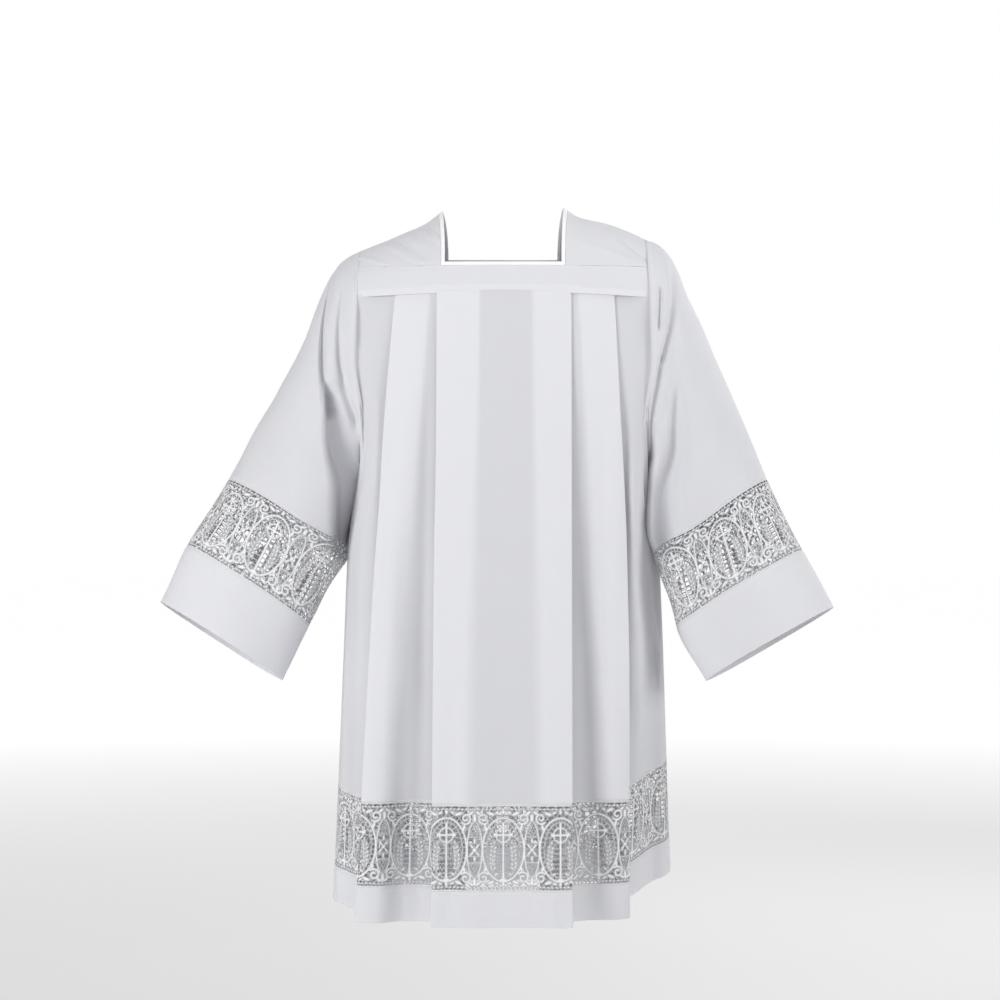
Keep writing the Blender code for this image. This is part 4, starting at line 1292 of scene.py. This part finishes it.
@dataclass
class LaceStrip:
    """Lace laid on a strip of cloth: the pattern's gaps are cut out and its threads stand up.

    Args:
        patch: the strip.
        along: running length at each of its columns.
        phase: running length at the middle of a repeat.
        cell: spacing of the pattern's grid, in mm.
        relief: how high the threads stand.
    """

    patch: Patch
    along: Array
    phase: float
    cell: float
    relief: float = 0.45 * MM

    def build(self, name: str, material: bpy.types.Material) -> tuple[bpy.types.Object, float]:
        """Makes the lace.

        Args:
            name: object name.
            material: finish.

        Returns:
            The object and its cloth area in square metres.
        """
        length = (self.along[-1] - self.along[0]) / MM
        columns, rows = int(length / self.cell) + 1, int(LacePattern.height / self.cell) + 1
        xs = np.linspace(0.0, length, columns)
        ys = np.linspace(0.0, LacePattern.height, rows)
        grid_x, grid_y = np.meshgrid(xs, ys)
        values = LacePattern().field(grid_x + self.along[0] / MM - self.phase / MM, grid_y)
        edge = np.minimum.reduce([grid_x, length - grid_x, grid_y, LacePattern.height - grid_y])
        values = np.where(edge < 1e-6, 0.5, values)
        flat, triangles, inside = cut_field(grid_x, grid_y, values)
        area = 0.5 * np.abs(np.cross(flat[triangles[:, 1]] - flat[triangles[:, 0]],
                                     flat[triangles[:, 2]] - flat[triangles[:, 0]])).sum() * MM * MM
        points = self.lift(flat, np.clip(inside / 1.2, 0.0, 1.0))
        extra = {"grain": np.pad(flat * MM, ((0, 0), (0, 1))), "raised": np.clip(inside / 1.1, 0.0, 1.0)}
        return make_mesh(name, points, triangles, extra, material), float(area)

    def lift(self, flat: Array, height: Array) -> Array:
        """Carries flat points in mm onto the strip, raised along its normals."""
        normals = -grid_normals(self.patch.points, False)
        rows = self.patch.points.shape[0] - 1
        where = self.along[0] + flat[:, 0] * MM
        column = np.clip(np.searchsorted(self.along, where, side="right") - 1, 0, len(self.along) - 2)
        t = ((where - self.along[column]) / (self.along[column + 1] - self.along[column]))[:, None]
        down = (1 - flat[:, 1] / LacePattern.height) * rows
        row = np.clip(down.astype(int), 0, rows - 1)
        u = (down - row)[:, None]
        result = []
        for grid in (self.patch.points, normals):
            upper = grid[row, column] * (1 - t) + grid[row, column + 1] * t
            lower = grid[row + 1, column] * (1 - t) + grid[row + 1, column + 1] * t
            result.append(upper * (1 - u) + lower * u)
        return result[0] + result[1] * (height[:, None] * self.relief)


def cut_field(grid_x: Array, grid_y: Array, values: Array) -> tuple[Array, Array, Array]:
    """Keeps the part of a grid where a field is positive, cut along its zero line.

    Each cell is two triangles. One with all corners inside stays whole; where the zero line crosses, the cut
    points lie on its edges in proportion to the values at their ends, and neighbours share them.

    Args:
        grid_x: x of the grid's points, shape (rows, columns).
        grid_y: y of the same points.
        values: the field.

    Returns:
        Points of shape (n, 2), triangles of shape (m, 3) and the field at each point.
    """
    rows, columns = values.shape
    index = np.arange(rows * columns).reshape(rows, columns)
    a, b, c, d = index[:-1, :-1], index[:-1, 1:], index[1:, 1:], index[1:, :-1]
    cells = np.concatenate([np.stack([a, b, c], -1).reshape(-1, 3), np.stack([a, c, d], -1).reshape(-1, 3)])
    flat = np.stack([grid_x.ravel(), grid_y.ravel()], axis=-1)
    value = values.ravel()
    inside = value[cells] > 0
    number = inside.sum(axis=1)
    whole = cells[number == 3]
    total = np.int64(rows * columns)

    def turned(chosen: Array, wanted: Array) -> Array:
        """Turns each triangle so that its odd corner comes first."""
        first = np.argmax(wanted, axis=1)
        order = (first[:, None] + np.arange(3)) % 3
        return np.take_along_axis(chosen, order, 1)

    def cut(start: Array, end: Array) -> Array:
        """Number of the cut point on each edge, as a key."""
        low, high = np.minimum(start, end), np.maximum(start, end)
        return total + low.astype(np.int64) * total + high

    one = turned(cells[number == 1], inside[number == 1])
    tips = np.stack([one[:, 0].astype(np.int64), cut(one[:, 0], one[:, 1]), cut(one[:, 0], one[:, 2])], -1)
    two = turned(cells[number == 2], ~inside[number == 2])
    near, far = cut(two[:, 0], two[:, 1]), cut(two[:, 0], two[:, 2])
    quads = np.concatenate([np.stack([near, two[:, 1], two[:, 2]], -1), np.stack([near, two[:, 2], far], -1)])
    triangles = np.concatenate([whole.astype(np.int64), tips, quads])
    keys, triangles = np.unique(triangles, return_inverse=True)
    triangles = triangles.reshape(-1, 3)
    on_grid = keys < total
    low, high = (keys - total) // total, (keys - total) % total
    low, high = np.where(on_grid, keys, low), np.where(on_grid, keys, high)
    share = np.where(on_grid, 0.0, value[low] / np.where(on_grid, 1.0, value[low] - value[high]))
    share = np.clip(share, 0.02, 0.98) * ~on_grid
    points = flat[low] + (flat[high] - flat[low]) * share[:, None]
    return points, triangles, np.where(on_grid, value[low], 0.0)


# ---- pieces


def sewn_rows(length: float, step: float, top: bool = True, bottom: bool = True) -> Array:
    """Shares down a cloth of a length, closer together beside its sewn edges.

    Args:
        length: length of the cloth in metres.
        step: spacing away from the edges.
        top: whether the top edge is sewn.
        bottom: whether the bottom edge is sewn.

    Returns:
        Rising shares from 0 to 1.
    """
    close = np.array([0.0, 0.7, 1.5, 2.4, 3.4, 4.6, 6.2, 8.6]) * MM
    first = close if top else close[:1]
    last = length - close[::-1] if bottom else np.array([length])
    middle = np.linspace(first[-1], last[0], max(2, int((last[0] - first[-1]) / step) + 1))[1:-1]
    return np.concatenate([first, middle, last]) / length


def ridge(away: Array, width: float, height: float) -> Array:
    """Rounded ridge of a turned edge: full height up to its width from the edge, then a quick fall.

    Args:
        away: distance from the edge.
        width: how wide the turning is.
        height: how far it stands up.

    Returns:
        Height at each point.
    """
    return height * (1 - ease(np.abs(away), width - 0.4 * MM, width + 1.0 * MM))


@dataclass
class StitchLine:
    """Row of machine stitches along a line on the cloth.

    Args:
        points: the line, shape (n, 3).
        normals: outward directions, shape (n, 3).
        inset: how far the stitches lie above the points.
        pitch: distance from one stitch to the next.
        length: length of a stitch.
        radius: half its thickness.
        sides: points round it.
    """

    points: Array
    normals: Array
    inset: float = 0.45 * MM
    pitch: float = 2.6 * MM
    length: float = 1.9 * MM
    radius: float = 0.2 * MM
    sides: int = 5

    def solids(self) -> tuple[Array, Array]:
        """Stitches as small capsules laid end to end.

        Returns:
            Vertices and triangles. Each capsule is two rings of points between two tips, carried to a place
            on the line by its tangent, its side and its normal.
        """
        run, sides = lengths_along(self.points), self.sides
        count = max(1, int(run[-1] / self.pitch))
        at = (np.arange(count) + 0.5) * run[-1] / count
        centre, up = sampled(at, run, self.points), unit(sampled(at, run, self.normals))
        ahead, behind = (sampled(at + step, run, self.points) - centre for step in (1e-4, -1e-4))
        tangent = unit(ahead - behind)
        side = np.cross(tangent, up)
        turn = np.arange(sides) * 2 * math.pi / sides
        ring = np.stack([np.zeros(sides), np.cos(turn) * self.radius, np.sin(turn) * self.radius], axis=-1)
        half = self.length / 2
        tips = np.array([[-half, 0, -self.radius * 0.8], [half, 0, -self.radius * 0.8]])
        capsule = np.concatenate([tips, ring - [half * 0.7, 0, 0], ring + [half * 0.7, 0, 0]])
        centre = centre + up * self.inset
        vertices = (centre[:, None] + capsule[None, :, :1] * tangent[:, None]
                    + capsule[None, :, 1:2] * side[:, None] + capsule[None, :, 2:] * up[:, None])
        a = np.arange(sides) + 2
        b, first, last = np.roll(a, -1), np.zeros(sides, int), np.ones(sides, int)
        faces = np.concatenate([np.stack(corners, -1) for corners in (
            (first, a, b), (last, b + sides, a + sides), (a, a + sides, b + sides), (a, b + sides, b),
        )])
        faces = faces[None] + np.arange(count)[:, None, None] * len(capsule)
        return vertices.reshape(-1, 3), faces.reshape(-1, 3)


@dataclass
class Workshop:
    """Makes the pieces with shared finishes and puts each on the frame."""

    cloth: bpy.types.Material
    binding: bpy.types.Material
    lace: bpy.types.Material
    thread: bpy.types.Material
    wall: float = 0.8 * MM

    def keep(self, piece: bpy.types.Object, node: str) -> bpy.types.Object:
        """Puts a piece on the frame in place of its solid, or beside the others if node is empty."""
        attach(piece, "root")
        if node:
            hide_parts(node)
        LOG.info("%s: %d faces", piece.name, len(piece.data.polygons))
        return piece

    def stitches(self, name: str, lines: Sequence[StitchLine]) -> bpy.types.Object:
        """Makes one piece of all the stitches on a cloth."""
        vertices, faces, first = [], [], 0
        for line in lines:
            points, triangles = line.solids()
            vertices.append(points)
            faces.append(triangles + first)
            first += len(points)
        piece = make_mesh(name, np.concatenate(vertices), np.concatenate(faces), {}, self.thread)
        return self.keep(piece, "")

    def sew(self, node: str, patch: Patch, flat: tuple[float, float],
            lines: Sequence[StitchLine] = (), wall: float | None = None) -> bpy.types.Object:
        """Makes a cloth shell with its stitches, keeps it and logs its cut.

        Args:
            node: solid that it replaces, whose name it takes with `_cloth`.
            patch: its middle surface.
            flat: width and length of the cut, in metres.
            lines: its stitch lines.
            wall: thickness.

        Returns:
            The piece.
        """
        piece = self.keep(patch.shell(node + "_cloth", wall or self.wall, self.cloth), node)
        parts = [self.stitches(node + "_stitches", lines)] if lines else []
        min(patch.area(), flat[0] * flat[1])
        LOG.info("  cut %.3f x %.3f m, %.4f m2", *flat, patch.area())
        return piece

    def insert(self, node: str, strip: LaceStrip, held: str, rests_on: Sequence[str]) -> bpy.types.Object:
        """Makes a lace insertion, keeps it and logs its cut."""
        piece, area = strip.build(node + "_openwork", self.lace)
        self.keep(piece, node)
        flat = (float(strip.along[-1] - strip.along[0]), LacePattern.height * MM)
        LOG.info("  cut %.3f x %.3f m, thread %.4f m2", *flat, area)
        return piece


@dataclass
class Yokes:
    """Front and back yokes, shoulder pieces and the bound square neck."""

    strip: float = 9.0 * MM
    columns: int = 150
    yoke_width: float = 0.40
    shoulder_cut: tuple = (0.125, 0.245)
    binding_cut: float = 0.012
    binding_sides: int = 16
    binding_thickness: float = 2.4 * MM
    shoulder_creases: tuple = (
        SoftCrease((-150, -24), (-106, -50), (3.0, 3.5), (3.4, 3.0)),
        SoftCrease((-140, -15), (-98, -44), (3.0, 3.5), (-2.6, -2.4)),
        SoftCrease((-106, -5), (-83, -23), (2.6, 3.0), (3.0, 2.8)),
        SoftCrease((-98, 2), (-80, -13), (2.4, 2.8), (-2.0, -2.0)),
        SoftCrease((-182, -40), (-148, -51), (3.0, 3.0), (2.6, 1.8)),
        SoftCrease((-126, -10), (-110, -22), (2.6, 3.0), (1.8, 1.8)),
        SoftCrease((100, -20), (168, -48), (4, 5), (1.4, 1.8)),
        SoftCrease((150, -14), (184, -44), (4, 4), (-1.6, -1.8)),
    )

    def build(self, shop: Workshop) -> None:
        """Makes all five pieces."""
        for side in Side:
            self.shoulder(shop, side)
        for facing in Facing:
            self.yoke(shop, facing)
        self.binding(shop)

    def yoke(self, shop: Workshop, facing: Facing) -> None:
        """Front or back yoke: a band round the body, doubled, with a stitched strip along its lower edge.

        The surface is y of the torso at x and z. The strip and the top turning stand up as ridges.
        """
        top = TORSO.yoke_top(facing)
        down = sewn_rows(top - TORSO.yoke_seam, 2.0 * MM)
        across = np.linspace(-1, 1, self.columns)[None, :]
        x = across * TORSO.armhole_x
        for _ in range(2):
            z = top + (TORSO.seam_z(x) - top) * down[:, None]
            x = across * np.abs(TORSO.armhole_edge_x(z, np.sign(across)))
        y = TORSO.surface_y(x, z, facing)
        fall = z - TORSO.seam_z(x)
        relief = ridge(fall - self.strip / 2, self.strip / 2, 0.55 * MM) + ridge(top - z, 3.0 * MM, 0.4 * MM)
        relief += ripple(x, z, 0.035, 2.0 + facing) * 0.22 * MM
        backing = 0.62 + 0.5 * (fall < self.strip) + 0.25 * (top - z < 3.2 * MM)
        flip = slice(None, None, -int(facing))
        patch = Patch(np.stack([x, y, z], axis=-1), np.stack(np.broadcast_arrays(x, z), axis=-1), backing)
        patch = patch.flipped(flip).swell(relief[:, flip])
        name = "yoke_" + facing.name.lower()
        lines = [patch.line_at(self.height_row(patch, value)) for value in (1.4, self.strip / MM - 1.0)]
        lines.append(patch.line_at(4))
        shop.sew(name, patch, (self.yoke_width, patch.tallest()), lines=lines, wall=1.2 * MM)

    @staticmethod
    def height_row(patch: Patch, value: float) -> int:
        """Row of a patch that lies closest to a height above its lower edge, in mm."""
        middle = patch.points.shape[1] // 2
        return int(np.argmin(np.abs(patch.points[:, middle, 2] - patch.points[-1, middle, 2] - value * MM)))

    def shoulder(self, shop: Workshop, side: Side) -> None:
        """Shoulder piece: the torso's surface from yoke to yoke over the ridge, between neck and armhole."""
        down = sewn_rows(0.25, 3.4 * MM)[:, None]
        width = TORSO.armhole_x - TORSO.neck_x(down) - TORSO.binding
        x = side * (TORSO.armhole_x - width * (1 - sewn_rows(0.11, 3.0 * MM)))
        front = TORSO.angle_at(x, TORSO.yoke_top(Facing.FRONT), Facing.FRONT)
        back = TORSO.angle_at(x, TORSO.yoke_top(Facing.BACK), Facing.BACK)
        points = TORSO.over_shoulder(x, back + (front - back) * down)
        away = TORSO.armhole_x - np.abs(points[..., 0])
        relief = ridge(away, 4.0 * MM, 0.3 * MM)
        in_front = ease(-points[..., 1], 0.0, 0.03)
        for crease in self.shoulder_creases:
            relief = relief - crease.along_x(points[..., 0], points[..., 2]) * in_front
        mottle = ripple(points[..., 0], points[..., 1], 0.06, 4.0 + side) * 0.5 * MM
        relief += mottle * (1 - ridge(away, 9 * MM, 1.0))
        grain = np.stack(np.broadcast_arrays(x, (down - 0.5) * 0.25), axis=-1)
        flip = slice(None, None, int(side))
        patch = Patch(points, grain, np.full(points.shape[:2], 0.5)).flipped(flip).swell(relief[:, flip])
        name = "shoulder_" + side.name.lower()
        lines = [patch.line_at(2), patch.line_at(len(points) - 3)]
        shop.sew(name, patch, self.shoulder_cut, lines=lines, wall=1.0 * MM)

    def loop(self, grow: float) -> Array:
        """Square neck line, grown outwards: front edge, right side, back edge, left side."""
        half = TORSO.neck_half + grow
        across = np.linspace(-1, 1, 48)[:-1] * half
        along = np.linspace(0, 1, 64)

        def edge(x: Array, facing: Facing) -> Array:
            """Front or back edge of the line."""
            z = np.full(x.shape, TORSO.neck_edge[facing] - grow)
            return np.stack([x, TORSO.surface_y(x, z, facing), z], axis=-1)

        def flank(side: Side, shares: Array) -> Array:
            """Side of the line, from its front corner to its back corner."""
            x = side * (TORSO.neck_x(shares) + grow)
            front = TORSO.angle_at(x, TORSO.neck_edge[Facing.FRONT] - grow, Facing.FRONT)
            back = TORSO.angle_at(x, TORSO.neck_edge[Facing.BACK] - grow, Facing.BACK)
            return TORSO.over_shoulder(x, front + (back - front) * shares)

        return np.concatenate([
            edge(across, Facing.FRONT), flank(Side.RIGHT, along[:-1]), edge(-across, Facing.BACK),
            flank(Side.LEFT, along[:0:-1]),
        ])

    def binding(self, shop: Workshop) -> None:
        """Bound neck edge: a flattened round profile carried along the neck line, mitred at the corners."""
        turn = np.arange(self.binding_sides) * 2 * math.pi / self.binding_sides
        width = TORSO.binding / 2
        outline = [width + width * 0.98 * float(value) for value in signed_power(np.cos(turn), 0.7)]
        height = self.binding_thickness / 2 * signed_power(np.sin(turn), 0.8)
        normals = grid_normals(np.stack([self.loop(0.0), self.loop(TORSO.binding)]), True)[0]
        grid = np.stack([self.loop(grow) + normals * rise for grow, rise in zip(outline, height)])
        run = lengths_along(grid[0])
        piece = ring_mesh("neck_binding_cloth", grid, run, shop.binding)
        shop.keep(piece, "neck_binding")
        line = StitchLine(self.loop(TORSO.binding - 1.2 * MM), normals, inset=1.05 * MM)
        stitches = shop.stitches("neck_binding_stitches", [line])


@dataclass
class Skirt:
    """Pleated front and back with their lace insertion and hem band."""

    wall: float = 0.8 * MM
    turning: float = 2.2 * MM
    lap: float = 4 * MM
    lace_cell: float = 1.08

    def build(self, shop: Workshop, facing: Facing) -> None:
        """Makes body, lace and hem band of the front or the back."""
        form, word = SkirtForm(facing), facing.name.lower()
        flip = slice(None, None, 1 if facing == Facing.FRONT else -1)
        lace_top = form.hem_band + form.lace
        length = -form.hem_z + TORSO.yoke_seam - lace_top
        body = form.patch(None, lace_top - self.turning, sewn_rows(length, 6.0 * MM)).flipped(flip)
        body = body.swell(self.edge_relief(body, from_top=False))
        body.backing = np.maximum(body.backing, self.near_edge(body, False, self.lap))
        width = float(form.along[-1] - form.along[0])
        shop.sew("body_" + word, body, (width, body.tallest()),
                 lines=[body.line_at(-4)], wall=self.wall)

        lace = form.patch(lace_top, form.hem_band, np.linspace(0, 1, 14)).flipped(flip)
        middle = lace.points[7]
        along = lengths_along(middle)
        phase = float(np.interp(0.0, *self.centre_line(middle, along)))
        strip = LaceStrip(lace, along, phase, self.lace_cell)
        shop.insert("hem_lace_" + word, strip, "hung", ["body_%s_cloth" % word])

        band = form.patch(form.hem_band + self.turning, 0.0, sewn_rows(form.hem_band, 3.0 * MM)).flipped(flip)
        band = band.swell(self.edge_relief(band, from_top=True))
        band.backing = np.full(band.backing.shape, 0.85)
        shop.sew("hem_band_" + word, band, (width, band.tallest()),
                 lines=[band.line_at(3)], wall=1.3 * MM)

    @staticmethod
    def centre_line(middle: Array, along: Array) -> tuple[Array, Array]:
        """x and running length of the cloth near the centre, for finding where x is 0."""
        first = int(np.argmin(np.abs(middle[:, 0])))
        near = slice(first - 3, first + 4)
        order = np.argsort(middle[near, 0])
        return middle[near, 0][order], along[near][order]

    @staticmethod
    def near_edge(patch: Patch, top: bool, width: float) -> Array:
        """1 within a width of the top or bottom edge, 0 elsewhere."""
        z = patch.points[..., 2]
        away = z[0] - z if top else z - z[-1]
        return 1 - ease(away, width - 0.5 * MM, width + 0.5 * MM)

    def edge_relief(self, patch: Patch, from_top: bool) -> Array:
        """Turned edge that laps the lace: it stands up by half a millimetre."""
        return self.near_edge(patch, from_top, self.lap) * 0.55 * MM


@dataclass
class Sleeve:
    """One wide sleeve with its lace insertion and deep cuff."""

    side: Side
    around: int = 320
    turning: float = 2.0 * MM
    lace_cell: float = 0.95

    def build(self, shop: Workshop) -> None:
        """Makes sleeve, lace halves and cuff."""
        form, word = SleeveForm(self.side), self.side.name.lower()
        flip = slice(None, None, -int(self.side))
        lace_start, lace_end = form.share_of("lace_top"), form.share_of("lace_end")
        turns = np.arange(self.around) / self.around
        lap = self.turning / form.length

        shares = sewn_rows(lace_start * form.length, 3.4 * MM) * (lace_start + lap)
        sleeve = form.patch(shares, turns, 0.32, True).flipped(flip)
        armhole = 1 - ease(shares, 0.0, 5 * MM / form.length)
        edge = ease(shares - lace_start - lap, -4.5 * MM / form.length, -3.8 * MM / form.length)
        sleeve = sleeve.swell(np.broadcast_to(0.5 * MM * edge[:, None], sleeve.points.shape[:2]))
        sleeve.backing = np.clip(sleeve.backing + (0.5 * edge + 0.2 * armhole)[:, None], 0, 1)
        sleeve = self.tucked(sleeve)
        shop.sew("sleeve_" + word, sleeve, self.cut(sleeve), lines=[sleeve.line_at(-4)])

        for start, part in ((0.0, "front"), (0.5, "back")):
            half = np.linspace(start, start + 0.5, self.around // 2 + 1)
            lace = form.patch(np.linspace(lace_start, lace_end, 14), half, 0.5, False).flipped(flip)
            along = lengths_along(lace.points[7])
            strip = LaceStrip(lace, along, float(along[-1]) / 2, self.lace_cell)
            shop.insert("sleeve_lace_%s_%s" % (word, part), strip, "hung", ["sleeve_%s_cloth" % word])

        length = (1 - lace_end) * form.length
        shares = lace_end - lap + (1 - lace_end + lap) * sewn_rows(length, 3.4 * MM)
        cuff = form.patch(shares, turns, 0.8, True).flipped(flip)
        edge = 1 - ease(shares - lace_end + lap, 3.8 * MM / form.length, 4.5 * MM / form.length)[:, None]
        cuff = cuff.swell(np.broadcast_to(0.5 * MM * edge, cuff.points.shape[:2]))
        shop.sew("cuff_" + word, cuff, self.cut(cuff), lines=[cuff.line_at(3)], wall=1.3 * MM)

    def tucked(self, patch: Patch) -> Patch:
        """Same sleeve with a narrow turning that reaches in behind the armhole edge of shoulder and body."""
        first = patch.points[:1] - grid_normals(patch.points, True)[:1] * 1.7 * MM
        first[..., 0] -= int(self.side) * 5.0 * MM
        return Patch(np.concatenate([first, patch.points]), np.concatenate([patch.grain[:1], patch.grain]),
                     np.concatenate([patch.backing[:1], patch.backing]), True)

    @staticmethod
    def cut(patch: Patch) -> tuple[float, float]:
        """Widest girth and greatest length of a tube of cloth."""
        ring = np.concatenate([patch.points, patch.points[:, :1]], axis=1)
        girth = np.linalg.norm(np.diff(ring, axis=1), axis=-1).sum(axis=1).max()
        return float(girth), patch.tallest()


@dataclass
class Studio:
    """Pale floor, soft lights and the camera."""

    floor_z: float = -1.42
    floor_half: int = 30
    camera_at: tuple = (-0.004, -3.0, -0.351)
    width_at_subject: float = 1.32
    lights: tuple = (
        ("key", (-2.4, -2.2, 0.25), 1.4, 53.0),
        ("fill", (3.0, -1.2, 0.5), 1.2, 27.0),
        ("front", (0.3, -3.3, 0.5), 1.4, 5.5),
        ("top", (1.2, -0.5, 2.1), 1.6, 29.0),
        ("rear", (1.6, 2.9, 1.2), 2.2, 26.0),
    )

    def build(self) -> None:
        """Makes the whole studio."""
        self.floor()
        for name, place, size, power in self.lights:
            self.light(name, place, size, power)
        self.camera()
        self.surroundings()
        bpy.context.scene.view_settings.view_transform = "Standard"

    def floor(self) -> None:
        """Makes a wide matt floor with a faint mottle, which also glows as painted light: dimmest near the
        garment, as a painted shadow under it, and brighter away from it.
        """
        graph = Graph("studio_floor")
        place = graph.node("ShaderNodeTexCoord", output="Object")
        mottle = graph.noise(place, 1.5, 2.0)
        # Painted light: the floor's emission grows with distance from the garment, so it glows like a lamp and
        # is dim beneath the garment as a painted shadow.
        far = graph.node("ShaderNodeVectorMath", {"operation": "LENGTH"}, {0: place}, output="Value")
        away = graph.node("ShaderNodeMapRange", {}, {"Value": far, "From Min": 1.3, "From Max": 7.5})
        material = graph.finish({
            "Base Color": graph.mix(mottle, (0.74, 0.74, 0.74, 1.0), (0.78, 0.78, 0.78, 1.0)),
            "Emission Color": graph.mix(away, (0.24, 0.24, 0.24, 1.0), (1.0, 1.0, 1.0, 1.0)),
            "Emission Strength": 0.8, "Roughness": 0.9,
        })
        half = self.floor_half
        corners = [[-half, -half, 0], [half, -half, 0], [half, half, 0], [-half, half, 0]]
        corners = np.array(corners, float) + [0, 0, self.floor_z]
        make_mesh("floor", corners, np.array([[0, 1, 2, 3]]), {}, material)

    def light(self, name: str, place: tuple, size: float, power: float) -> None:
        """Hangs a square soft light that faces the chest."""
        lamp = bpy.data.lights.new(name, "AREA")
        lamp.energy, lamp.size = power, size
        holder = bpy.data.objects.new(name, lamp)
        holder.location = place
        aim = Vector((0.0, 0.0, -0.35)) - Vector(place)
        holder.rotation_euler = aim.to_track_quat("-Z", "Y").to_euler()
        bpy.context.scene.collection.objects.link(holder)

    def camera(self) -> None:
        """Sets the camera level in front of the garment."""
        lens = bpy.data.cameras.new("camera")
        lens.sensor_fit = "HORIZONTAL"
        lens.angle = 2 * math.atan(self.width_at_subject / 2 / abs(self.camera_at[1]))
        lens.clip_end = 100
        holder = bpy.data.objects.new("camera", lens)
        holder.location = self.camera_at
        holder.rotation_euler = (math.pi / 2, 0, 0)
        bpy.context.scene.collection.objects.link(holder)
        bpy.context.scene.camera = holder

    def surroundings(self) -> None:
        """Sets an even pale surround: softer as a light than as a backdrop."""
        world = bpy.data.worlds.new("studio")
        bpy.context.scene.world = world
        world.use_nodes = True
        tree = world.node_tree
        back = tree.nodes["Background"]
        path = tree.nodes.new("ShaderNodeLightPath")
        strength = tree.nodes.new("ShaderNodeMapRange")
        tree.links.new(path.outputs["Is Camera Ray"], strength.inputs["Value"])
        strength.inputs["To Min"].default_value = 0.25
        strength.inputs["To Max"].default_value = 1.0
        back.inputs["Color"].default_value = (1.0, 1.0, 1.0, 1.0)
        tree.links.new(strength.outputs["Result"], back.inputs["Strength"])


def main() -> None:
    """Builds the whole visual in order: finishes, yokes, skirt, sleeves and the studio."""
    logging.basicConfig(level=logging.INFO, format="%(message)s")
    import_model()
    binding = ClothFinish("binding", (0.86, 0.86, 0.88, 1.0), (0.9, 0.9, 0.915, 1.0))
    shop = Workshop(ClothFinish().build(), binding.build(), LaceFinish().build(), ThreadFinish().build())
    Yokes().build(shop)
    for facing in Facing:
        Skirt().build(shop, facing)
    for side in Side:
        Sleeve(side).build(shop)
    Studio().build()


if __name__ == "__main__":
    main()
